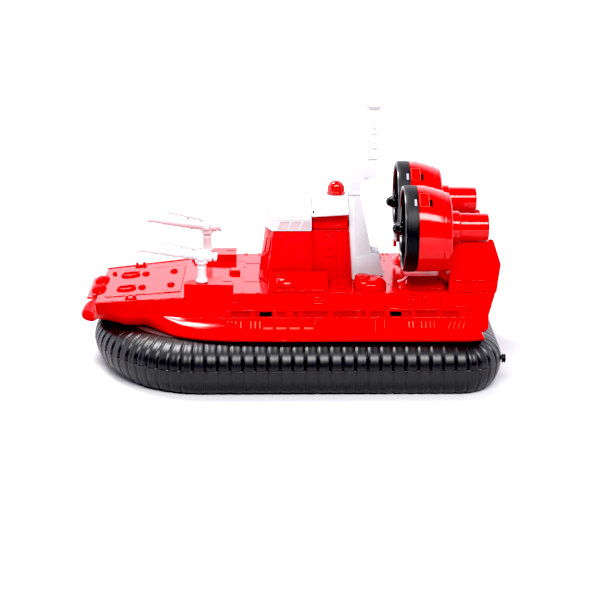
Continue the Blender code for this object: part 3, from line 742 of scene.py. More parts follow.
TAIL = (  # the slanted end of the band, the step in behind it, and the transom's corner
    ((165.4, 86.4, 46.7), (164.9, 88.2, 49.3), (161.3, 77.9, 55.3), (157.6, 66.6, 60.6),
     (157.6, 57.5, 81.0)),
    ((166.2, 68.0, 46.7), (166.0, 68.2, 49.3), (162.4, 67.4, 55.0), (158.6, 66.0, 60.4),
     (158.6, 57.5, 81.0)),
    ((170.0, 64.0, 46.7), (171.0, 66.0, 49.5), (171.6, 64.4, 55.0), (171.8, 61.5, 61.0),
     (177.4, 57.5, 81.0)))
POCKETS = ((-59.6, -42.4), (-18.2, -10.5), (-3.4, 1.1), (4.9, 27.2), (31.7, 53.3), (56.6, 60.4),
           (64.9, 77.7), (105.8, 124.9), (128.7, 144.1))
OPENINGS = (  # the ends of a pocket, and of the black opening in it
    (-37.9, -21.9, -33.8, -22.7), (81.5, 101.9, 82.8, 93.0))
BESIDE_OPENINGS = ((-37.9, -34.6), (93.8, 101.9))
RIM = 0.8  # wall left between a pocket and its opening
FIRST_STATION = -41.1
STATIONS = (-20.3, -6.9, 3.0, 29.5, 55.0, 62.6, 79.6, 103.9, 126.8, 147.3, 152.0)
POCKET_FOOT = 61.7
POCKET_TOP = 65.7
KNUCKLE_Y = 66.5
KNUCKLE_Z = 60.6
WALL_LEAN = 9.0 / 20.4
BAND_LEAN = 24.1 / 11.8
RAMP = ((-182.5, 69.0), (-104.0, 76.2))  # x and height at the foredeck's low and high ends
WALL_OUT = (0.0, -math.cos(math.atan(WALL_LEAN)), math.sin(math.atan(WALL_LEAN)))
BAND_OUT = (0.0, -math.cos(math.atan(BAND_LEAN)), math.sin(math.atan(BAND_LEAN)))


def wall_point(x, z, lift=0.0):
    """A point on the port wall between the knuckle and the deck, lifted off it along its normal."""
    return (x, -(KNUCKLE_Y - (z - KNUCKLE_Z) * WALL_LEAN) + WALL_OUT[1] * lift, z + WALL_OUT[2] * lift)


def band_point(x, z, lift=0.3):
    """A point on the port band between the knuckle and the lip."""
    return (x, -(KNUCKLE_Y + (KNUCKLE_Z - z) * BAND_LEAN) + BAND_OUT[1] * lift, z + BAND_OUT[2] * lift)


def ramp_height(x):
    (x0, z0), (x1, z1) = RAMP
    return z0 + (x - x0) * (z1 - z0) / (x1 - x0)


def hull_section(x, points):
    """A closed ring from half points (y, z or x, y, z): bottom, lip, cheek middle, knuckle, deck edge."""
    full = [p if len(p) == 3 else (x, *p) for p in points]
    bottom, lip, middle, knuckle, deck = (Vector(p) for p in full)
    control = middle * 2 - (lip + knuckle) / 2
    half = [bottom, lip]
    for t in (0.2, 0.4, 0.6, 0.8):
        half.append(lip * (1 - t) ** 2 + control * 2 * t * (1 - t) + knuckle * t * t)
    half += [knuckle, deck]
    return whole([tuple(point) for point in half])


def hull_rings():
    # Stations stand between the pockets, so that each pocket is cut out of one flat face
    before, behind = HULL[19], HULL[20]
    share = (FIRST_STATION - before[0]) / (behind[0] - before[0])
    long_run = [tuple(a + (b - a) * share for a, b in zip(before, behind))]
    long_run += [(x, *behind[1:]) for x in STATIONS]
    runs = (flowing(HULL[0:7], 3), flowing(HULL[6:16], 3)[1:], HULL[16:20], long_run)
    rings = []
    for run in runs:
        for x, zb, yb, yl, zl, yk, zk, yd, zd in run:
            bulge = 1.6 if x < -60 else 0.5
            middle = ((yl + yk) / 2 + bulge, (zl + zk) / 2 + bulge * 0.7)
            rings.append(hull_section(x, ((yb, zb), (yl, zl), middle, (yk, zk), (yd, zd))))
    return rings + [hull_section(0, half) for half in TAIL]


def pocket(mould, x0, x1, z0, z1, depth):
    """A cutter that goes a set depth into the sloping wall, on both sides."""
    for _, side in SIDES:
        rings = []
        for x in (x0, x1):
            ring = [wall_point(x, z, lift) for z, lift in ((z0, 6.0), (z1, 6.0), (z1, -depth),
                                                           (z0, -depth))]
            rings.append([(px, -side * py, pz) for px, py, pz in ring])
        mould.skin(rings)


def build_hull():
    depth = bpy.context.scene.craft_sizes.pocket_depth / MM
    cuts = Mould()
    for x0, x1 in POCKETS:
        pocket(cuts, x0, x1, POCKET_FOOT, POCKET_TOP, depth)
    for x0, x1, hole0, hole1 in OPENINGS:
        if hole0 - RIM - x0 > 1.0:
            pocket(cuts, x0, hole0 - RIM, POCKET_FOOT, POCKET_TOP, depth)
        pocket(cuts, hole0, hole1, POCKET_FOOT + 0.2, POCKET_TOP, 5.5)
        pocket(cuts, hole1 + RIM, x1, POCKET_FOOT, POCKET_TOP, depth)
    shell = cast("hull_shell", Mould().skin(hull_rings()), "hull_red", stands_for=("hull",), cuts=(cuts,),
                 round_by=0.26, angle=30)
    # The bow's steep faces and the nose get the duller copies of the red: painted shade.
    second_finish(shell, "bow_shaded_red", lambda at, way: at.x < -0.088 and way.z < 0.7)
    second_finish(shell, "nose_shaded_red", lambda at, way: at.x < -0.1795)

    dark = Mould()
    for _, _, hole0, hole1 in OPENINGS:
        ring = [wall_point(0, z, lift) for z, lift in ((61.95, -1.0), (65.65, -1.0), (65.65, -5.3),
                                                       (61.95, -5.3))]
        dark.skin([[(x, y, z) for _, y, z in ring] for x in (hole0 + 0.1, hole1 - 0.1)])
    cast("opening_shadow", dark.both_sides(), "open_dark", round_by=0.1)
    # Darker red plates on the pocket floors: painted shade.
    floors = Mould()
    for x0, x1 in POCKETS + BESIDE_OPENINGS:
        ring = [wall_point(0, z, lift - depth) for z, lift in ((61.75, 0.12), (65.65, 0.12),
                                                               (65.65, -0.3), (61.75, -0.3))]
        floors.skin([[(x, y, z) for _, y, z in ring] for x in (x0 + 0.05, x1 - 0.05)])
    cast("pocket_floors", floors.both_sides(), "pocket_shade_red", round_by=0.0)

    rows = []
    for x in (-61.9, -58.3, -54.8, -50.3, -41.4, -37.4, -33.4, 99.4, 103.0, 110.5, 114.1, 118.1, 121.7):
        rows.append((band_point(x, 58.7), band_point(x, 54.8), 1.7, 0.75, BAND_OUT))
    for top, foot in ((136.9, 133.4), (140.9, 137.9), (144.9, 142.3), (148.9, 146.7)):
        rows.append((band_point(top, 58.6), band_point(foot, 54.4), 1.6, 0.75, BAND_OUT))
    for x0, x1 in ((-30.6, -21.7), (-19.1, -9.8), (-7.1, 2.2), (5.7, 14.2)):
        rows.append((band_point(x0, 54.9), band_point(x1, 54.9), 2.6, 0.7, BAND_OUT))
    for x, foot in ((16.0, 55.8), (69.5, 52.8), (78.0, 54.6)):
        rows.append((band_point(x, 59.6), band_point(x - 0.8, foot), 0.6, 0.35, BAND_OUT))
    # The band's bars take the pale red whose lighter tone is a painted highlight.
    bars("band_bars", mirrored(rows), "highlight_red")

    rows = []
    for x0, x1 in ((-62.4, -20.4), (-4.6, 61.6), (79.6, 129.4), (149.2, 155.4)):
        rows.append((wall_point(x0, 67.0), wall_point(x1, 67.0), 1.3, 1.0, WALL_OUT))
    for x in (-62.0, -40.1, -20.8, -4.2, 3.0, 29.4, 54.9, 61.2, 80.1, 103.8, 126.8):
        rows.append((wall_point(x, 66.8), wall_point(x, 61.6), 1.1, 0.8, WALL_OUT))
    rows.append((wall_point(83.0, 68.3), wall_point(92.8, 68.3), 1.6, 1.0, WALL_OUT))
    for z in (71.2, 73.4, 75.6, 77.8, 79.6):
        rows.append((wall_point(99.0, z), wall_point(105.9, z), 1.0, 0.9, WALL_OUT))
        rows.append((wall_point(-57.6, z), wall_point(-50.2, z), 1.0, 0.9, WALL_OUT))
    for x in (108.2, 111.4, 114.6, 117.8):
        rows.append((wall_point(x, 78.4), wall_point(x, 71.4), 1.5, 0.8, WALL_OUT))
    for x in (-47.6, -44.6, -41.6, -38.6):
        rows.append((wall_point(x, 79.0), wall_point(x, 71.0), 1.4, 0.8, WALL_OUT))
    for z in (72.4, 74.8, 77.2):
        rows.append((wall_point(14.5, z), wall_point(24.1, z), 1.1, 0.6, WALL_OUT))
    rows.append((wall_point(129.4, 79.6), wall_point(129.4, 68.0), 1.1, 1.1, WALL_OUT))
    rows.append((wall_point(132.0, 69.6), wall_point(150.4, 69.6), 0.9, 0.7, WALL_OUT))
    bars("wall_bars", mirrored(rows), "hull_red")

    edges = Mould()
    for x0, x1 in ((-50.8, -47.4), (-37.4, -31.0), (82.2, 84.6), (86.4, 89.0)):
        edges.block((x0, x1), (-57.6, -52.6), (80.6, 81.6))
    edges.block((30.0, 48.4), (-31.4, -26.6), (80.6, 83.4))
    edges.block((33.0, 46.0), (-58.2, -53.0), (80.6, 82.6))
    edges.block((37.5, 41.5), (-50.5, -45.5), (80.6, 83.8))
    cast("deck_steps", edges.both_sides(), "hull_red", round_by=0.35)


# Foredeck

HATCH_TOP = 0.8
VENT = (-157.4, 19.2)
CLEAT = (-150.5, 47.0)
TOW_PAD = (-183.6, 12.0)


def build_foredeck():
    outline = ((-175.5, -36.0), (-106.0, -38.5), (-106.0, 38.5), (-175.5, 36.0))
    hatch = Mould().skin([[(x, y, ramp_height(x) + lift) for x, y in outline]
                          for lift in (0.3, HATCH_TOP)])
    grooves = Mould()
    for y0, y1 in ((-33.6, -35.6), (33.6, 35.6)):
        rings = []
        for lift in (HATCH_TOP - 0.55, HATCH_TOP + 2.0):
            corners = ((-182.5, y0 - 0.35), (-111.0, y1 - 0.35), (-111.0, y1 + 0.35), (-182.5, y0 + 0.35))
            rings.append([(x, y, ramp_height(x) + lift) for x, y in corners])
        grooves.skin(rings)
    cast("hatch_panel", hatch, "hull_red", stands_for=("foredeck_hatch",), cuts=(grooves,), round_by=0.3)
    pads = Mould()
    for _, side in SIDES:
        y = side * VENT[1]
        pads.pad(VENT[0], y, 9.0, 6.0, ((1.0, -0.6), (1.0, 1.1), (0.95, 1.6), (0.86, 1.8), (0.8, 1.25)),
                 HATCH_TOP, 40, 0.85)
        for x in (-143.0, -116.4):
            pads.pad(x, y, 3.6, 3.6, ((1.05, -0.6), (1.05, 0.35), (0.94, 0.55), (0.92, 1.1), (0.8, 1.8),
                                      (0.55, 2.3), (0.22, 2.5)),
                     HATCH_TOP, 28)
    pads.pad(-173.4, 27.0, 2.0, 1.8, ((1.0, -0.6), (1.0, 1.6), (0.8, 2.2)), HATCH_TOP, 20, 0.8)
    # The pads take the duller copy of the red: painted shade.
    cast("hatch_pads", pads, "bow_shaded_red", round_by=0.0, angle=50)
    rows = []
    for _, side in SIDES:
        for k in range(8):
            x = -164.2 + k * 1.95
            z = ramp_height(x) + HATCH_TOP + 1.0
            rows.append(((x, side * VENT[1] - 0.6, z), (x + 1.2, side * VENT[1] + 4.7, z), 0.7, 1.5,
                         UPWARD))
    # The slats take the duller copy of the red, so they show dark: painted shade.
    bars("vent_slats", rows, "bow_shaded_red")
    floors = Mould()
    for _, side in SIDES:
        floors.pad(VENT[0], side * VENT[1], 7.1, 4.7, ((1.0, 0.9), (1.0, 1.3)), HATCH_TOP, 32, 0.85)
    cast("vent_shadow", floors, "hull_red", round_by=0.0)

    for name, side in SIDES:
        y = side * CLEAT[1]
        cleat = Mould().pad(CLEAT[0], y, 5.6, 2.3, ((1.0, 0.3), (1.0, 1.2), (0.93, 1.6)), 0.0, 28, 0.6)
        for x, lean in ((-153.4, -0.8), (-147.6, 0.8)):
            foot = ramp_height(x)
            cleat.rod((((x, y, foot + 1.0), 1.35), ((x + lean * 0.4, y, foot + 2.2), 1.2),
                       ((x + lean, y, foot + 2.9), 1.55), ((x + lean, y, foot + 3.7), 1.3)), 16)
        cast("cleat_block_" + name, cleat, "hull_red", stands_for=("cleat_" + name,), round_by=0.2)

    tongue = ((-193.0, -27.0), (-183.7, -31.0), (-183.7, 31.0), (-193.0, 27.0))
    plate = Mould().skin([[(x, y, ramp_height(x) + lift) for x, y in tongue] for lift in (-3.3, -1.3)])
    for _, side in SIDES:
        plate.pad(TOW_PAD[0], side * TOW_PAD[1], 6.8, 11.4, ((1.0, -0.9), (1.0, 1.0), (0.96, 2.0),
                                                             (0.85, 2.9), (0.65, 3.6), (0.35, 4.0)), -0.9,
                  40, 0.7)
        plate.block((-187.5, -184.2), (side * 25.5 - 2.2, side * 25.5 + 2.2), (66.6, 69.2))
    tongue = cast("tongue", plate, "hull_red", stands_for=("bow_plate",), round_by=0.35)
    pad_x, pad_y = (SHIFT + TOW_PAD[0]) * MM, TOW_PAD[1] * MM
    # The tow pads take the dullest copy of the red: painted shade.
    second_finish(tongue, "nose_shaded_red",
                  lambda at, way: math.hypot((at.x - pad_x) / 0.0069, (abs(at.y) - pad_y) / 0.0115) < 1.0)

    rims = Mould()
    for _, side in SIDES:
        rings = []
        for x, _, _, _, _, _, _, yd, _ in flowing(HULL[6:16], 2):
            rings.append([(x, side * (yd - 0.5), ramp_height(x) - 0.5),
                          (x, side * (yd - 2.2), ramp_height(x) - 0.5),
                          (x, side * (yd - 2.2), ramp_height(x) + 0.7),
                          (x, side * (yd - 0.5), ramp_height(x) + 0.7)])
        rims.skin(rings)
    cast("foredeck_rims", rims, "hull_red", round_by=0.25)


# Gun deck

INLAY = (80.8, 81.04)  # foot and top of what is let into the deck
PLATFORM = (  # x, inner y, outer y at the foot, outer y at the top, foot z
    (-101.6, 46.5, 56.2, 52.2, 77.0), (-100.0, 42.8, 56.8, 52.5, 77.5), (-92.0, 39.2, 56.5, 53.1, 80.1),
    (-89.0, 38.0, 56.4, 53.3, 81.0), (-84.0, 36.2, 56.6, 53.7, 81.0), (-74.0, 33.2, 56.8, 54.0, 81.0),
    (-57.6, 32.6, 57.3, 54.4, 81.0))


def build_gun_deck():
    """The platforms, the slots let into them and the deck as flush inlays whose dark red is painted shade,
    and the middle block.
    """
    inlay = Mould()
    for name, side in SIDES:
        rings = [[(x, side * inner, low - 0.4), (x, side * (foot + 0.35), low - 0.4),
                  (x, side * top, 88.0), (x, side * inner, 88.0)]
                 for x, inner, foot, top, low in PLATFORM]
        cast("gun_deck_" + name, Mould().skin(rings), "hull_red", stands_for=("gun_platform_" + name,),
             round_by=0.4, angle=30)
        inlay.block((-67.5, -58.9), sorted((side * 44.2, side * 46.2)), (87.8, 88.04))
        inlay.block((-48.8, -32.9), sorted((side * 25.4, side * 27.1)), INLAY)
        for x, y in ((-49.5, 15.4), (83.5, 34.5)):
            inlay.turned([(INLAY[0], 0), (INLAY[0], 1.1), (INLAY[1], 1.1), (INLAY[1], 0)],
                         (x, side * y, 0), "z", 16)
    inlay.block((-56.8, -50.5), (33.4, 34.7), INLAY)
    # Flush inlays whose dark red is painted shade of slots.
    cast("deck_slots", inlay, "slot_red", round_by=0.0)
    rings = []
    for lean, inset, share, z in ((0.0, 0.0, 1.0, DECK_SEAT), (1.3, 0.0, 1.0, 83.9),
                                  (2.0, 0.5, 0.85, 84.6)):
        fore, aft, half = -63.4 + lean, -52.8 - inset, 4.6 * share
        rings.append([(fore, -half, z), (aft, -half, z), (aft, half, z), (fore, half, z)])
    block = Mould().skin(rings)
    cast("middle_block", block, "hull_red", stands_for=("centre_block",), round_by=0.4)


# Water cannons

CANNON_X = -85.7
CANNON_Y = 45.5
BREECH = (-76.0, 111.5)  # x and height of the barrel's ends
MUZZLE = (-142.5, 119.5)


def build_cannons():
    axis = Vector((MUZZLE[0] - BREECH[0], 0, MUZZLE[1] - BREECH[1])).normalized()
    for name, side in SIDES:
        y = side * CANNON_Y
        centre = (CANNON_X, y, 0.0)
        post = [(88.3, 0), (88.3, 5.4), (88.7, 5.7), (89.6, 5.7), (90.4, 5.2), (91.6, 4.6), (93.5, 4.3),
                (100.0, 4.0), (101.0, 4.3), (102.2, 4.3), (103.0, 3.9), (105.0, 3.8), (105.0, 0)]
        cast("cannon_stand_" + name, Mould().turned(post, centre, "z", 40), "house_white",
             stands_for=("cannon_post_" + name,), round_by=0.0, angle=45)
        head = Mould().turned([(105.3, 0), (105.3, 4.6), (106.0, 5.6), (108.2, 6.1), (109.0, 5.8),
                               (110.0, 6.2), (114.0, 6.2), (115.6, 5.8), (117.0, 4.9), (117.6, 3.2),
                               (117.8, 0)], centre, "z", 40)
        start = Vector((BREECH[0], y, BREECH[1]))
        stops = []
        for along, radius in ((0, 4.2), (1.5, 4.7), (14, 4.7), (16, 4.3), (30, 3.9), (31, 4.4), (34, 4.4),
                              (35, 3.8), (49, 3.2), (50, 3.6), (52, 3.6), (53, 2.9), (61, 2.5), (62, 2.9),
                              (66.5, 2.6)):
            stops.append((start + axis * along, radius))
        head.rod(stops, 28)
        head.rod((((-80.0, y, 111.9), 2.6), ((-75.4, y, 111.6), 2.6), ((-74.8, y, 111.5), 3.9),
                  ((-72.6, y, 111.3), 4.1), ((-71.6, y, 111.2), 3.4)), 24)
        head.rod((((-88.6, y, 110.0), 2.1), ((-88.6, y, 116.6), 2.0), ((-89.4, y, 118.7), 1.9),
                  ((-91.6, y, 119.9), 1.8), ((-105.0, y, 122.9), 1.6), ((-117.0, y, 125.4), 1.35),
                  ((-117.6, y, 125.5), 1.8), ((-120.4, y, 126.1), 1.8), ((-121.0, y, 126.2), 1.3),
                  ((-123.5, y, 126.8), 1.1)), 18)
        head.rod((((-103.5, y, 113.6), 1.3), ((-103.5, y, 122.9), 1.1)), 12)
        band = start + axis * 24.0
        head.rod(((band - axis * 1.4, 5.0), (band + axis * 1.4, 5.0)), 24)
        head.turned([(-1.0, 0), (-1.0, 2.2), (1.0, 2.2), (1.0, 0)], (-103.5, y, 122.5), "x", 14)
        for end in (-1, 1):
            head.rod((((CANNON_X, y + end * 4.0, 112.0), 2.6), ((CANNON_X, y + end * 6.9, 112.0), 2.6),
                      ((CANNON_X, y + end * 7.3, 112.0), 2.1)), 20)
        cast("cannon_turret_" + name, head, "house_white", name + "_cannon",
             stands_for=("cannon_head_" + name,), round_by=0.0, angle=40)


# Cabin, bridge and roofs

CABIN_SIDE = -27.8  # port face of the cabin's aft part, a little inside it
HOUSE_SIDE = -25.8
BEACON_X = 35.6
CABIN_PLAN = ((-35.5, 13.0, 1.0), (-27.0, 31.0, 0.8), (13.0, 31.0, 0.0), (15.0, 28.0, 0.0),
              (46.0, 28.0, 0.0))
BRIDGE_RINGS = (  # z, front x, front y, corner x, corner y, aft x, aft y
    (131.3, -30.5, 14.0, -22.5, 32.5, 13.0, 32.5), (141.0, -24.2, 14.0, -19.7, 32.5, 13.0, 32.5),
    (141.6, -24.6, 14.4, -20.2, 33.0, 13.0, 33.0), (146.2, -23.3, 14.4, -19.6, 33.0, 13.0, 33.0),
    (147.0, -22.2, 13.8, -18.6, 32.0, 13.0, 32.0), (152.5, -20.0, 10.0, -16.0, 20.0, 13.0, 20.0))


def cabin_ring(height, shrink, rake):
    half = []
    for x, y, share in CABIN_PLAN:
        inner_x = x + shrink if x < 0 else (x - shrink if x > 40 else x)
        half.append((inner_x + share * rake, y - shrink, height))
    return whole(half)


def bridge_ring(row, shrink=0.0):
    z, fx, fy, cx, cy, ax, ay = row
    half = [(fx + shrink, fy - shrink * 0.3, z), (cx + shrink * 0.4, cy - shrink, z),
            (ax - shrink, ay - shrink, z)]
    return whole(half)


def build_cabin():
    walls = Mould().skin([cabin_ring(DECK_SEAT, 0, 0), cabin_ring(131.0, 0, 7.0)])
    space = Mould().skin([cabin_ring(84.0, 2.2, 0.4), cabin_ring(133.0, 2.2, 7.3)])
    cast("cabin_walls", walls, "cabin_red", stands_for=("cabin",), cuts=(space,), round_by=0.5)
    wedge = ((45.9, 81.4), (50.0, 81.4), (48.5, 108.3), (47.2, 126.0), (46.9, 131.0), (45.9, 131.0))
    cast("cabin_back", Mould().prism(wedge, "y", -26.0, 26.0), "cabin_red", round_by=0.2)
    rows = []
    for x0, x1, z in ((24.7, 35.3, 130.0), (35.7, 45.7, 130.2), (26.1, 34.0, 125.8), (27.6, 33.4, 113.1),
                      (24.1, 45.8, 106.0)):
        rows.append(((x0, CABIN_SIDE, z), (x1, CABIN_SIDE, z), 0.9, 1.0, SIDE_OUT))
    for x in (17.2, 36.1, 41.8):
        rows.append(((x, CABIN_SIDE, 84.0), (x, CABIN_SIDE, 129.0), 0.8, 0.5, SIDE_OUT))
    rows.append(((44.8, CABIN_SIDE, 83.0), (44.8, CABIN_SIDE, 130.4), 1.6, 0.9, SIDE_OUT))
    for x, top, low in ((-29.2, 124.7, 111.0), (-25.6, 124.7, 108.0)):
        rows.append(((x + 2.2, -30.0, top), (x - 0.2, -29.4, low), 0.9, 1.0, (-0.7, -0.72, 0.1)))
    bars("cabin_ledges", mirrored(rows), "cabin_red")
    house = Mould().prism(((13.3, 131.3), (45.8, 131.3), (45.8, 145.9), (13.3, 144.1)), "y", -26.0, 26.0)
    cast("upper_house", house, "cabin_red", stands_for=("aft_house",), round_by=0.4)
    rows = [((14.8, HOUSE_SIDE, 132.0), (14.8, HOUSE_SIDE, 143.6), 1.4, 1.2, SIDE_OUT),
            ((44.6, HOUSE_SIDE, 132.0), (44.6, HOUSE_SIDE, 145.0), 1.4, 0.9, SIDE_OUT)]
    rows += [((17.0, HOUSE_SIDE, z), (43.0, HOUSE_SIDE, z), 0.8, 0.7, SIDE_OUT)
             for z in (134.2, 138.0, 141.8)]
    bars("house_ledges", mirrored(rows), "cabin_red")


def build_bridge():
    room = Mould().skin([bridge_ring((131.0, *BRIDGE_RINGS[0][1:]), 2.0),
                         bridge_ring((141.0, *BRIDGE_RINGS[1][1:]), 2.0)])
    shell = Mould().skin([bridge_ring(row) for row in BRIDGE_RINGS])
    openings = Mould()
    lean = ((0.0, 132.0), (2.8, 139.7))
    for x0, x1 in ((-18.0, -9.8), (-7.3, 0.9), (3.4, 10.4)):
        ring = [(x0 + shift, z) for shift, z in lean] + [(x1 + shift, z) for shift, z in reversed(lean)]
        for low, high in ((-36.0, -29.0), (29.0, 36.0)):
            openings.prism(ring, "y", low, high)
    openings.block((-36.0, -26.0), (-11.5, 11.5), (133.4, 139.8))
    cast("bridge_shell", shell, "house_white", stands_for=("bridge",), cuts=(room, openings),
         round_by=0.35, angle=28)

    # The panes' greyish pink is painted shade.
    panes = Mould()
    for _, side in SIDES:
        ring = [(-20.4, 132.0), (12.2, 132.0), (12.2, 140.6), (-17.6, 140.6)]
        panes.prism(ring, "y", *sorted((side * 30.9, side * 31.7)))
    panes.skin([[(-28.6 + k, -12.6, 132.6), (-28.6 + k, 12.6, 132.6), (-24.2 + k, 12.6, 140.4),
                 (-24.2 + k, -12.6, 140.4)] for k in (0.0, 0.8)])
    corner = [(-29.0, -15.5, 132.6), (-22.2, -31.0, 132.6), (-19.9, -31.0, 140.2), (-24.0, -15.5, 140.2)]
    for _, side in SIDES:
        way = Vector((-0.88, side * 0.45, 0.12))
        panes.skin([[Vector((x, -side * y, z)) + way * k for x, y, z in corner] for k in (0.2, 0.75)])
    cast("window_panes", panes, "shaded_pane", round_by=0.12)

    rows = []
    for x in (-8.6, 2.1):
        rows.append(((x, -32.0, 131.8), (x + 2.9, -32.0, 140.2), 1.5, 1.0, SIDE_OUT))
    rows.append(((12.2, -32.3, 131.6), (12.2, -32.3, 146.4), 1.6, 0.8, SIDE_OUT))
    rows.append(((-20.2, -32.8, 144.9), (12.6, -32.8, 144.9), 0.8, 0.6, SIDE_OUT))
    bars("bridge_mullions", mirrored(rows), "house_white")
    rows = [((x, -6.0, 152.4), (x, 6.0, 152.4), 1.2, 1.0, UPWARD) for x in (-14.0, -10.0, -6.0, -2.0)]
    bars("bridge_roof_ribs", rows, "house_white")


def build_roofs():
    rings = []
    for x, base in ((13.3, 144.4), (14.0, 144.4), (45.6, 146.3), (46.2, 146.4)):
        half = [(x, 33.0, base), (x, 33.4, base + 0.9), (x, 33.0, base + 2.4),
                (x, 20.0, (base + 2.6) * 0.42 + 157.2 * 0.58 + 0.3), (x, 9.0, 157.2)]
        rings.append(whole(half))
    cast("roof_aft", Mould().skin(rings), "house_white", stands_for=("aft_roof",), round_by=0.45,
         angle=20)
    rows = [((14.4, -32.9, 146.4), (45.4, -32.9, 148.2), 0.7, 0.6, (0, -1, 0.1))]
    bars("roof_eaves", mirrored(rows), "house_white")
    dots = Mould().rod((((14.7, -33.2, 149.0), 0.8), ((14.7, -31.4, 149.4), 0.8)), 12)
    cast("roof_dots", dots.both_sides(), "open_dark", round_by=0.0)
    lamp = [(157.5, 0), (157.5, 8.2), (158.0, 8.5), (159.0, 8.4), (159.4, 7.5), (164.2, 7.25),
            (166.2, 6.5), (167.9, 5.1), (169.1, 3.0), (169.6, 0)]
    cast("beacon_dome", Mould().turned(lamp, (BEACON_X, 0.0, 0.0), "z", 48), "lamp_red",
         stands_for=("beacon",), round_by=0.0, angle=50)
    rows = []
    for k in range(20):
        t = math.tau * k / 20
        c, s = math.cos(t), math.sin(t)
        rows.append(((BEACON_X + 7.35 * c, 7.35 * s, 159.6), (BEACON_X + 7.15 * c, 7.15 * s, 164.6),
                     0.7, 0.35, (c, s, 0)))
    bars("beacon_ribs", rows, "lamp_red")


# Tower and mast

TOWER = (  # z, front x, aft x, front half width, aft half width
    (DECK_SEAT, 50.2, 79.8, 22.0, 11.0), (102.6, 49.0, 75.6, 21.4, 10.5), (103.1, 49.0, 68.8, 21.4, 10.4),
    (126.0, 47.4, 64.0, 20.0, 10.0), (156.0, 46.6, 57.8, 9.0, 6.0))


def build_tower():
    rings = []
    for z, front, aft, wide, narrow in TOWER:
        half = [(front, wide, z), (front + 4.5, wide, z), (aft, narrow, z)]
        rings.append(whole(half))
    cast("tower_shell", Mould().skin(rings), "house_white", stands_for=("tower",), round_by=0.5, angle=12)
    frame_mould = Mould().block((69.4, 75.0), (-9.4, 9.4), (102.7, 103.7))
    cast("louvre_frame", frame_mould, "mid_grey", round_by=0.3)
    rows = [((70.1 + 1.05 * k, -8.4, 103.7), (70.1 + 1.05 * k, 8.4, 103.7), 0.5, 0.5, UPWARD)
            for k in range(5)]
    bars("louvre_ribs", rows, "house_white")
    outline = ((47.0, 156.3), (57.8, 156.3), (58.6, 168.5), (72.6, 174.5), (73.2, 236.0), (65.8, 236.0),
               (64.4, 184.5), (47.0, 184.5))
    holes = Mould()
    for x, z, r in ((69.4, 217.5, 1.3), (70.6, 199.6, 1.0), (63.0, 171.9, 1.5)):
        ring = [(x + r * math.cos(math.tau * k / 14), z + r * math.sin(math.tau * k / 14))
                for k in range(14)]
        holes.prism(ring, "y", -8.0, -4.0).prism(ring, "y", 4.0, 8.0)
    cast("mast_frame", Mould().prism(outline, "y", -5.0, 5.0), "house_white", stands_for=("mast",),
         cuts=(holes,), round_by=0.5)
    parts = Mould().turned([(234.6, 0), (234.6, 4.6), (236.2, 5.4), (238.4, 8.2), (239.2, 8.6),
                            (240.4, 8.6), (240.4, 7.8), (239.3, 6.4), (239.0, 0)], (69.4, 0.0, 0.0), "z",
                           40)
    parts.prism(((66.0, 190.0), (76.0, 190.5), (88.5, 196.8), (88.2, 198.6), (75.0, 194.2),
                 (66.0, 194.2)), "y", -4.2, 4.2)
    parts.prism(((67.0, 203.0), (67.0, 207.0), (52.0, 211.8), (51.4, 210.0)), "y", -2.0, 2.0)
    parts.skin([[(63.6, -3.0, 184.0), (66.0, -3.0, 184.0), (66.0, 3.0, 184.0), (63.6, 3.0, 184.0)],
                [(64.6, -2.4, 208.0), (66.2, -2.4, 208.0), (66.2, 2.4, 208.0), (64.6, 2.4, 208.0)]])
    parts.block((65.0, 77.6), (-6.0, 6.0), (190.6, 192.4))
    cast("mast_arms", parts, "house_white", round_by=0.3)
    rows = [((66.4, -4.9, z), (72.6, -4.9, z), 1.0, 0.7, (0, -1, 0))
            for z in (226.0, 222.6, 214.0, 206.0, 201.0)]
    rows.append(((48.2, -4.9, 158.4), (57.2, -4.9, 158.4), 0.9, 0.6, (0, -1, 0)))
    bars("mast_bands", mirrored(rows), "house_white")


# Drums, fairings and cradles

CRADLE_Y = 35.0
FORE_DRUM = (-9.8, 44.2, 12.5)
AFT_DRUM = (65.6, 41.4, 15.0)
FAIRING = ((31.3, DECK_SEAT), (56.8, DECK_SEAT), (56.2, 83.5), (45.0, 91.5), (31.3, 93.0))
CRADLE_ARCH = ((1.0, 0.0), (0.985, 0.05), (0.8, 0.27), (0.6, 0.5), (0.42, 0.7), (0.33, 0.81),
               (0.25, 0.89), (0.17, 0.95), (0.09, 0.99), (0.0, 1.0))
FAN_FAIRING = (  # x, half width, height
    (91.6, 12.0, 0.5), (93.0, 12.8, 1.9), (98.8, 13.3, 7.2), (100.8, 13.3, 7.7), (128.0, 13.3, 7.7),
    (130.4, 13.1, 7.3), (132.2, 12.8, 6.2), (133.8, 12.2, 4.2), (134.9, 11.4, 1.6), (135.1, 11.0, 0.5))


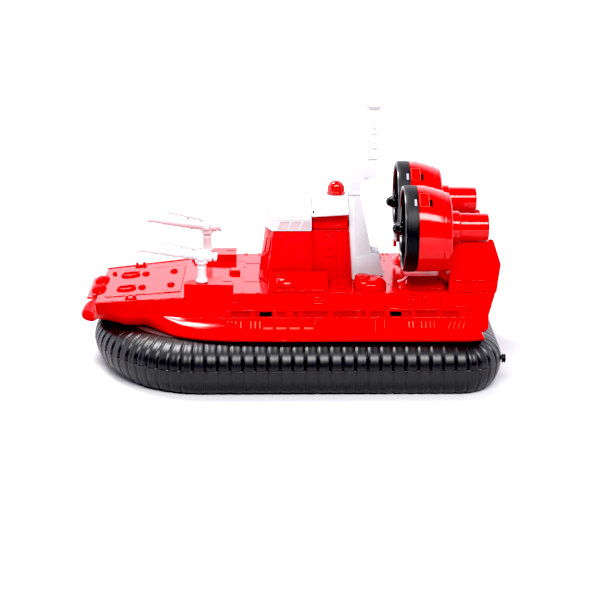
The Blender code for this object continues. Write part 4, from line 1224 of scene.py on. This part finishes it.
def build_drums():
    for name, side in SIDES:
        x, y, r = FORE_DRUM
        fore = Mould().turned([(DECK_SEAT, 0), (DECK_SEAT, r), (85.2, r), (85.8, r - 0.5),
                               (86.4, r - 0.5), (89.0, r - 1.7), (91.0, r - 3.4), (92.2, r - 5.4),
                               (92.8, r - 8.0), (93.2, 0)], (x, side * y, 0.0), "z", 56)
        fore.prism([(side * a, b) for a, b in FAIRING], "x", -26.0, 27.5)
        cast("drum_round_fore_" + name, fore, "cabin_red", stands_for=("drum_fore_" + name,),
             round_by=0.4, angle=35)
        x, y, r = AFT_DRUM
        aft = Mould().turned([(DECK_SEAT, 0), (DECK_SEAT, r), (84.8, r), (85.4, r - 0.5), (86.0, r - 0.5),
                              (87.8, r - 1.7), (89.2, r - 4.0), (90.0, r - 6.5), (90.4, 0)],
                             (x, side * y, 0.0), "z", 56)
        aft.turned([(86.0, 0), (86.0, 7.2), (90.8, 7.2), (91.8, 6.7), (92.4, 5.6), (92.4, 0)],
                   (x - 6.6, side * y, 0.0), "z", 40)
        cast("drum_round_aft_" + name, aft, "cabin_red", stands_for=("drum_aft_" + name,), round_by=0.0,
             angle=40)
        rings = []
        for fx, half, height in FAN_FAIRING:
            arch = [(half * share, height * rise) for share, rise in CRADLE_ARCH]
            arch += [(-a, b) for a, b in arch[-2::-1]]
            rings.append([(fx, side * (CRADLE_Y + a), DECK_SEAT + b) for a, b in arch])
        cast("fan_cradle_" + name, Mould().skin(rings), "hull_red", stands_for=("fan_fairing_" + name,),
             round_by=0.25, angle=40)
    rows = []
    for _, side in SIDES:
        for (x, y, _), r, z in ((FORE_DRUM, 7.6, 92.2), (AFT_DRUM, 11.2, 88.9)):
            for k in range(10):
                t = math.tau * k / 10
                c, s = math.cos(t), math.sin(t)
                rows.append(((x + (r - 1.6) * c, side * (y + (r - 1.6) * s), z + 0.5),
                             (x + (r + 0.8) * c, side * (y + (r + 0.8) * s), z - 0.3), 0.9, 0.5, UPWARD))
    bars("drum_ticks", rows, "hull_red")


# Fans

FAN_Y = 43.7
FAN_Z = 136.9
ROTOR_X = 103.5
SLOT_EDGE = ((47.5, 36.4), (47.5, 38.15), (53, 38.2), (58.5, 38.15), (58.5, 36.4))  # degrees, radius
PATCH_EDGE = ((47.5, 37.6), (47.5, 38.7), (52, 38.75), (58, 38.7), (58, 37.6))


def round_point(side, x, radius, angle, drop=0.0):
    """A point on a duct, at an angle up from the horizontal that points to port."""
    return (x, side * FAN_Y - radius * math.cos(angle), FAN_Z + radius * math.sin(angle) - drop)


def curved_bars(side, x0, x1, radius, low, high, width, rise, steps=5):
    """Bars along a rectangle drawn on a duct: two along it, and two round it in short lengths."""
    rows = []
    for angle in (low, high):
        out = (0.0, -math.cos(angle), math.sin(angle))
        rows.append((round_point(side, x0, radius, angle), round_point(side, x1, radius - 0.5, angle),
                     width, rise, out))
    for x, r in ((x0, radius), (x1, radius - 0.5)):
        for k in range(steps):
            a, b = low + (high - low) * k / steps, low + (high - low) * (k + 1) / steps
            out = (0.0, -math.cos((a + b) / 2), math.sin((a + b) / 2))
            rows.append((round_point(side, x, r, a), round_point(side, x, r, b), width, rise, out))
    return rows


def duct_tiles(side, x0, x1, edge):
    """A tile on each upper flank of a duct, from an edge of (degrees, radius)."""
    tiles = Mould()
    for way in (1, -1):
        rings = []
        for x in (x0, x1):
            ring = []
            for degrees, radius in edge:
                _, y, z = round_point(side, x, radius, math.radians(degrees))
                ring.append((x, side * FAN_Y + (y - side * FAN_Y) * way, z))
            rings.append(ring)
        tiles.skin(rings)
    return tiles


def both_ways(rows, side):
    """The rows and their reflections in the duct's own upright plane."""
    middle = side * FAN_Y
    out = list(rows)
    for start, end, width, rise, outward in rows:
        out.append(((start[0], 2 * middle - start[1], start[2]), (end[0], 2 * middle - end[1], end[2]),
                    width, rise, (outward[0], -outward[1], outward[2])))
    return out


def build_rotor(name, side):
    centre = (0.0, side * FAN_Y, FAN_Z)
    rotor = Mould().turned([(84.6, 0), (84.9, 1.2), (85.7, 2.6), (87.2, 4.1), (89.2, 5.2), (91.4, 5.9),
                            (92.2, 6.0), (92.6, 5.5), (93.4, 5.5), (93.8, 6.1), (112.6, 6.1), (112.6, 0)],
                           centre, sides=40)
    count = bpy.context.scene.craft_sizes.blade_count
    for k in range(count):
        turn = Matrix.Rotation(math.tau * k / count, 3, "X")
        rings = []
        for radius, chord, twist, sweep in ((4.5, 9.5, 1.0, 0.0), (10.0, 11.5, 0.86, 0.4),
                                            (18.0, 12.5, 0.7, 1.2), (26.0, 12.0, 0.56, 1.8),
                                            (31.6, 10.2, 0.48, 1.6), (33.7, 7.0, 0.45, 1.0)):
            ring = []
            for along, thick in ((-0.5, 0.0), (-0.3, -0.5), (0.05, -0.62), (0.35, -0.36), (0.5, 0.0),
                                 (0.35, 0.3), (0.05, 0.42), (-0.3, 0.36)):
                u = along * chord
                ax = u * math.sin(twist) - thick * math.cos(twist)
                tang = u * math.cos(twist) + thick * math.sin(twist) + sweep
                point = turn @ Vector((0.0, radius, tang * side))
                ring.append((ROTOR_X + ax, point.y + centre[1], point.z + centre[2]))
            rings.append(ring)
        rotor.skin(rings)
    cast("rotor_" + name, rotor, "spinner_black", name + "_fan", stands_for=("fan_" + name,),
         round_by=0.0, angle=50)
    rows = []
    for k in range(6):
        t = math.tau * k / 6
        out = (0.0, math.cos(t), math.sin(t))
        rows.append(((85.6, centre[1] + 2.3 * out[1], centre[2] + 2.3 * out[2]),
                     (90.8, centre[1] + 5.5 * out[1], centre[2] + 5.5 * out[2]), 0.9, 0.7, out))
    bars("rotor_ridges_" + name, rows, "spinner_black", name + "_fan")


def build_fans():
    for name, side in SIDES:
        centre = (0.0, side * FAN_Y, FAN_Z)
        ring = [(94.8, 35.6), (94.0, 35.9), (93.6, 36.5), (93.6, 37.1), (94.0, 37.7), (95.0, 38.1),
                (97.0, 38.5), (104.0, 38.5), (104.3, 38.1), (105.4, 38.1), (105.4, 35.6)]
        cast("front_ring_" + name, Mould().turned(ring, centre, sides=128), "fan_black",
             stands_for=("fan_ring_" + name,), round_by=0.0, angle=25)
        duct = [(105.7, 35.6), (105.7, 38.3), (111.0, 38.3, 0.1), (116.5, 37.8, 0.6), (122.0, 37.0, 1.2),
                (128.0, 36.0, 2.3), (128.4, 36.3, 2.3), (129.2, 36.2, 2.4), (129.6, 35.4, 2.6),
                (133.2, 34.7, 3.1), (133.5, 34.9, 3.1), (134.3, 34.7, 3.2), (135.2, 33.6, 3.5),
                (135.2, 13.7, -1.3), (133.2, 13.7, -1.3), (133.2, 31.6, 3.0), (128.4, 33.2, 2.2),
                (122.0, 34.4, 1.2), (111.0, 35.4, 0.1)]
        cast("duct_shell_" + name, Mould().turned(duct, centre, sides=128), "hull_red",
             stands_for=("fan_duct_" + name,), round_by=0.0, angle=28)
        body = [(113.0, 0), (113.0, 4.4), (113.6, 5.0), (132.4, 6.0), (132.8, 13.4, -1.3),
                (135.6, 13.4, -1.3), (135.7, 14.0, -1.3), (136.1, 14.4, -1.3), (143.0, 14.4, -1.3),
                (143.6, 14.2, -1.3), (144.6, 12.7, -1.3), (168.4, 12.25, -1.3), (169.2, 12.0, -1.3),
                (169.6, 11.5, -1.3), (169.6, 10.6, -1.3), (166.6, 10.4, -1.3), (166.6, 4.0, -1.3),
                (168.2, 3.2, -1.3), (168.2, 0, -1.3)]
        cast("nacelle_body_" + name, Mould().turned(body, centre, sides=80), "hull_red",
             stands_for=("nacelle_" + name,), round_by=0.0, angle=28)
        lip = [(96.0, 35.5), (94.9, 35.45), (94.0, 35.7), (93.5, 36.3), (93.4, 36.9), (93.55, 37.5),
               (94.0, 37.95), (94.3, 38.0), (94.5, 37.4), (96.0, 36.2)]
        cast("ring_lip_" + name, Mould().turned(lip, centre, sides=128), "lip_black", round_by=0.0,
             angle=70)
        low, high = math.radians(47), math.radians(69)
        rows = curved_bars(side, 106.6, 114.6, 38.2, low, high, 0.75, 0.75)
        # The panel lines take the pale red whose lighter tone is a painted highlight.
        bars("duct_panel_" + name, both_ways(rows, side), "highlight_red")
        # A dark tile on each duct flank paints the shade of a slot.
        cast("duct_slot_" + name, duct_tiles(side, 115.2, 117.4, SLOT_EDGE), "open_dark", round_by=0.1)
        # Pale tiles on the front rings: painted highlight.
        cast("ring_clip_" + name, duct_tiles(side, 101.8, 103.8, PATCH_EDGE), "mid_grey", round_by=0.15)
        vanes = []
        for k in range(8):
            t = math.tau * (k + 0.5) / 8
            c, s = math.cos(t), math.sin(t)
            vanes.append(((135.1, side * FAN_Y + 15.5 * c, FAN_Z + 1.0 + 15.5 * s),
                          (135.1, side * FAN_Y + 31.0 * c, FAN_Z - 2.9 + 31.0 * s), 1.4, 0.9, (1, 0, 0)))
        bars("duct_ribs_" + name, vanes, "hull_red")
        build_rotor(name, side)
    tabs = Mould()
    for _, side in SIDES:
        tabs.block((92.6, 95.6), (side * FAN_Y - 2.2, side * FAN_Y + 2.2), (92.6, 99.6))
        tabs.block((96.6, 100.4), (side * FAN_Y - 1.8, side * FAN_Y + 1.8), (80.6, 84.4))
    cast("ring_feet", tabs, "hull_red", round_by=0.35)


# Pylons

PYLON_LEAN = 0.2
PYLON_FOOT = (57.8, 81.0)  # y and height of the outer face's foot
PYLON = ((135.6, DECK_SEAT), (178.3, DECK_SEAT), (179.7, 91.7), (181.7, 106.0), (175.4, 124.9),
         (174.0, 127.7), (136.4, 128.8))
PYLON_BLOCK = ((135.9, DECK_SEAT), (177.0, DECK_SEAT), (177.0, 103.0), (172.4, 122.6), (170.6, 125.2),
               (146.5, 125.2), (146.5, 118.0), (135.9, 118.0))
PYLON_OUT = (0.0, -math.cos(math.atan(PYLON_LEAN)), math.sin(math.atan(PYLON_LEAN)))


def pylon_point(x, z, lift=0.0):
    """A point on the port pylon's leaning outer face."""
    y = PYLON_FOOT[0] - (z - PYLON_FOOT[1]) * PYLON_LEAN
    return (x, -y + PYLON_OUT[1] * lift, z + PYLON_OUT[2] * lift)


def build_pylons():
    for name, side in SIDES:
        faces = []
        for depth in (0.0, 2.2):
            faces.append([(x, -side * (pylon_point(x, z)[1] + depth), z) for x, z in PYLON])
        wall = Mould().skin(faces)
        wall.skin([[(x, -side * (pylon_point(x, z)[1] + 1.0), z) for x, z in PYLON_BLOCK],
                   [(x, side * 30.0, z) for x, z in PYLON_BLOCK]])
        saddle = Mould().turned([(133.0, 0), (133.0, 14.8, -1.3), (145.0, 14.8, -1.3),
                                 (145.0, 13.0, -1.3), (170.3, 12.6, -1.3), (170.3, 0)],
                                (0.0, side * FAN_Y, FAN_Z), sides=64)
        cast("pylon_wall_" + name, wall, "hull_red", stands_for=("pylon_" + name,), cuts=(saddle,),
             round_by=0.4)
    rows = [(pylon_point(138.9, 91.6), pylon_point(178.9, 91.6), 1.0, 0.8, PYLON_OUT),
            (pylon_point(151.6, 91.2), pylon_point(151.6, 81.6), 1.0, 0.8, PYLON_OUT),
            (pylon_point(139.4, 91.2), pylon_point(139.4, 81.6), 0.8, 0.6, PYLON_OUT)]
    bars("pylon_lines", mirrored(rows), "hull_red")
    rows = []
    for _, side in SIDES:
        for k in range(5):
            z = 88.0 + k * 5.0
            rows.append(((177.2 - k * 0.1, side * 34.0, z), (177.2 - k * 0.1, side * 54.0, z), 1.6, 0.9,
                         (1, 0, 0)))
    bars("pylon_louvres", rows, "hull_red")


# Stage

LOOK_AT = (0.00977, 0.0, 0.05358)
LIGHT_AIM = (0.0, 0.0, 0.09)
BLACK_LEVEL = 0.046


def build_floor(tone):
    made = bpy.data.materials.new("floor_pale")
    made.use_nodes = True
    wires = Wires(made.node_tree)
    shader = made.node_tree.nodes["Principled BSDF"]
    place = wires.flow("ShaderNodeTexCoord", output="Object")
    cloud = wires.flow("ShaderNodeTexNoise", {}, {"Vector": place, "Scale": 1.5, "Detail": 2.0})
    colour = wires.blend(wires.clamp(cloud, 0.3, 0.8), (*tone, 1.0),
                         tuple(channel * 0.985 for channel in tone) + (1.0,))
    reach = wires.flow("ShaderNodeVectorMath", {"operation": "LENGTH"}, {0: place}, "Value")
    colour = wires.blend(wires.clamp(reach, 0.3, 1.2), colour, (0.96, 0.96, 0.96, 1.0))
    made.node_tree.links.new(colour.socket, shader.inputs["Base Color"])
    shader.inputs["Roughness"].default_value = 0.55
    shader.inputs["Specular IOR Level"].default_value = 0.15
    mesh = bpy.data.meshes.new("floor")
    reach, corners = 4.0, []
    for k in range(64):
        corners.append((reach * math.cos(math.tau * k / 64), reach * math.sin(math.tau * k / 64),
                        -0.0003))
    mesh.from_pydata(corners, [], [list(range(64))])
    mesh.materials.append(made)
    linked("floor", mesh)


def build_world(backdrop):
    """Bright backdrop low behind and at the sides, softer overhead, and a dark room behind the camera."""
    world = bpy.data.worlds.new("studio")
    bpy.context.scene.world = world
    world.use_nodes = True
    wires = Wires(world.node_tree)
    shader = world.node_tree.nodes["Background"]
    way = wires.flow("ShaderNodeTexCoord", output="Generated")
    split = wires.add("ShaderNodeSeparateXYZ", {}, {0: way})
    y, z = Flow(wires, split.outputs["Y"]), Flow(wires, split.outputs["Z"])
    base = wires.clamp(z, 0.42, 0.85, backdrop, 0.45)
    front = wires.clamp(y * -1.0, 0.0, 0.4)
    low = wires.clamp(z, 0.5, 0.7, 1.0, 0.0)
    strength = base * (1.0 - front * low * 0.93)
    seen = wires.flow("ShaderNodeLightPath", output="Is Camera Ray")
    strength = strength * (1.0 - seen) + seen * 1.6
    world.node_tree.links.new(strength.socket, shader.inputs["Strength"])
    shader.inputs["Color"].default_value = (1.0, 0.98, 1.1, 1.0)


def softbox(name, way, distance, width, height, watts):
    lamp = bpy.data.lights.new(name, "AREA")
    lamp.shape = "RECTANGLE"
    lamp.size = width
    lamp.size_y = height
    lamp.energy = watts
    made = bpy.data.objects.new(name, lamp)
    bpy.context.scene.collection.objects.link(made)
    aim = Vector(LIGHT_AIM)
    place = Vector(way).normalized() * distance + aim
    made.location = place
    made.rotation_euler = (place - aim).to_track_quat("Z", "X").to_euler()
    made.visible_camera = False
    return made


def build_stage():
    studio = bpy.context.scene.studio
    build_floor(tuple(studio.floor_tone))
    build_world(studio.backdrop)
    key = softbox("key_softbox", (0.19, -0.65, 0.76), 1.62, 1.6, 0.42, studio.key_watts)
    key.rotation_euler = Vector((0.0, -0.65, 0.76)).to_track_quat("Z", "Y").to_euler()
    softbox("top_softbox", (-0.36, 0.25, 0.9), 1.5, 0.5, 0.5, studio.top_watts)
    target = Vector(LOOK_AT)
    back = Vector((math.sin(studio.azimuth) * math.cos(studio.elevation),
                   -math.cos(studio.azimuth) * math.cos(studio.elevation), math.sin(studio.elevation)))
    camera = bpy.data.objects.new("camera", bpy.data.cameras.new("camera"))
    bpy.context.scene.collection.objects.link(camera)
    camera.data.sensor_width = 36.0
    camera.data.lens = studio.lens
    camera.location = target + back * studio.distance
    camera.rotation_euler = back.to_track_quat("Z", "Y").to_euler()
    bpy.context.scene.camera = camera
    view = bpy.context.scene.view_settings
    view.view_transform = "Standard"
    view.use_curve_mapping = True
    view.curve_mapping.black_level = (BLACK_LEVEL, BLACK_LEVEL, BLACK_LEVEL)
    view.curve_mapping.update()


# Operators, panel and registration


class BuildSkirt(bpy.types.Operator):
    """Build the ribbed skirt, the deck plate on it and the filling plug."""

    bl_idname = "craft.build_skirt"
    bl_label = "Skirt"

    def execute(self, context):
        build_skirt()
        return {"FINISHED"}


class BuildHull(bpy.types.Operator):
    """Build the hull shell with its pockets, bars and deck steps."""

    bl_idname = "craft.build_hull"
    bl_label = "Hull"

    def execute(self, context):
        build_hull()
        return {"FINISHED"}


class BuildForedeck(bpy.types.Operator):
    """Build the hatch, vents, buttons, cleats, tongue and rims of the foredeck."""

    bl_idname = "craft.build_foredeck"
    bl_label = "Foredeck"

    def execute(self, context):
        build_foredeck()
        return {"FINISHED"}


class BuildGunDeck(bpy.types.Operator):
    """Build the two gun platforms, the slots in them and in the deck, and the middle block."""

    bl_idname = "craft.build_gun_deck"
    bl_label = "Gun deck"

    def execute(self, context):
        build_gun_deck()
        return {"FINISHED"}


class BuildCannons(bpy.types.Operator):
    """Build the water cannons' posts and turning heads."""

    bl_idname = "craft.build_cannons"
    bl_label = "Water cannons"

    def execute(self, context):
        build_cannons()
        return {"FINISHED"}


class BuildCabin(bpy.types.Operator):
    """Build the red cabin and the house under the aft roof."""

    bl_idname = "craft.build_cabin"
    bl_label = "Cabin"

    def execute(self, context):
        build_cabin()
        return {"FINISHED"}


class BuildBridge(bpy.types.Operator):
    """Build the white bridge with its windows, panes and mullions."""

    bl_idname = "craft.build_bridge"
    bl_label = "Bridge"

    def execute(self, context):
        build_bridge()
        return {"FINISHED"}


class BuildRoofs(bpy.types.Operator):
    """Build the aft roof and the beacon."""

    bl_idname = "craft.build_roofs"
    bl_label = "Roof and beacon"

    def execute(self, context):
        build_roofs()
        return {"FINISHED"}


class BuildTower(bpy.types.Operator):
    """Build the tower with its louvre and the mast."""

    bl_idname = "craft.build_tower"
    bl_label = "Tower and mast"

    def execute(self, context):
        build_tower()
        return {"FINISHED"}


class BuildDrums(bpy.types.Operator):
    """Build the deck drums, their fairings and the cradles under the fans."""

    bl_idname = "craft.build_drums"
    bl_label = "Drums and cradles"

    def execute(self, context):
        build_drums()
        return {"FINISHED"}


class BuildFans(bpy.types.Operator):
    """Build the front rings, ducts, nacelles and turning rotors."""

    bl_idname = "craft.build_fans"
    bl_label = "Fans"

    def execute(self, context):
        build_fans()
        return {"FINISHED"}


class BuildPylons(bpy.types.Operator):
    """Build the pylons that carry the nacelles."""

    bl_idname = "craft.build_pylons"
    bl_label = "Pylons"

    def execute(self, context):
        build_pylons()
        return {"FINISHED"}


class BuildStage(bpy.types.Operator):
    """Build the floor, light and camera."""

    bl_idname = "craft.build_stage"
    bl_label = "Studio"

    def execute(self, context):
        build_stage()
        return {"FINISHED"}


OPERATORS = (BuildSkirt, BuildHull, BuildForedeck, BuildGunDeck, BuildCannons, BuildCabin, BuildBridge,
             BuildRoofs, BuildTower, BuildDrums, BuildFans, BuildPylons, BuildStage)


class CraftPanel(bpy.types.Panel):
    """Lists the build steps with the sizes and colours that they read."""

    bl_idname = "CRAFT_PT_hovercraft"
    bl_label = "Rescue hovercraft"
    bl_space_type = "VIEW_3D"
    bl_region_type = "UI"
    bl_category = "Hovercraft"

    def draw(self, context):
        for group in (context.scene.craft_colours, context.scene.craft_sizes, context.scene.studio):
            box = self.layout.box()
            for key in group.bl_rna.properties.keys():
                if key not in ("rna_type", "name"):
                    box.prop(group, key)
        for operator in OPERATORS:
            self.layout.operator(operator.bl_idname)


CLASSES = (CraftColours, CraftSizes, StudioSettings, *OPERATORS, CraftPanel)


def register():
    for item in CLASSES:
        bpy.utils.register_class(item)
    bpy.types.Scene.craft_colours = PointerProperty(type=CraftColours)
    bpy.types.Scene.craft_sizes = PointerProperty(type=CraftSizes)
    bpy.types.Scene.studio = PointerProperty(type=StudioSettings)


def unregister():
    del bpy.types.Scene.studio
    del bpy.types.Scene.craft_sizes
    del bpy.types.Scene.craft_colours
    for item in reversed(CLASSES):
        bpy.utils.unregister_class(item)


def main():
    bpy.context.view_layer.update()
    register()
    for operator in OPERATORS:
        getattr(bpy.ops.craft, operator.bl_idname.split(".")[1])()
    blank = bpy.data.objects.get("bar_blank")
    if blank:
        bpy.data.objects.remove(blank)


if __name__ == "__main__":
    main()
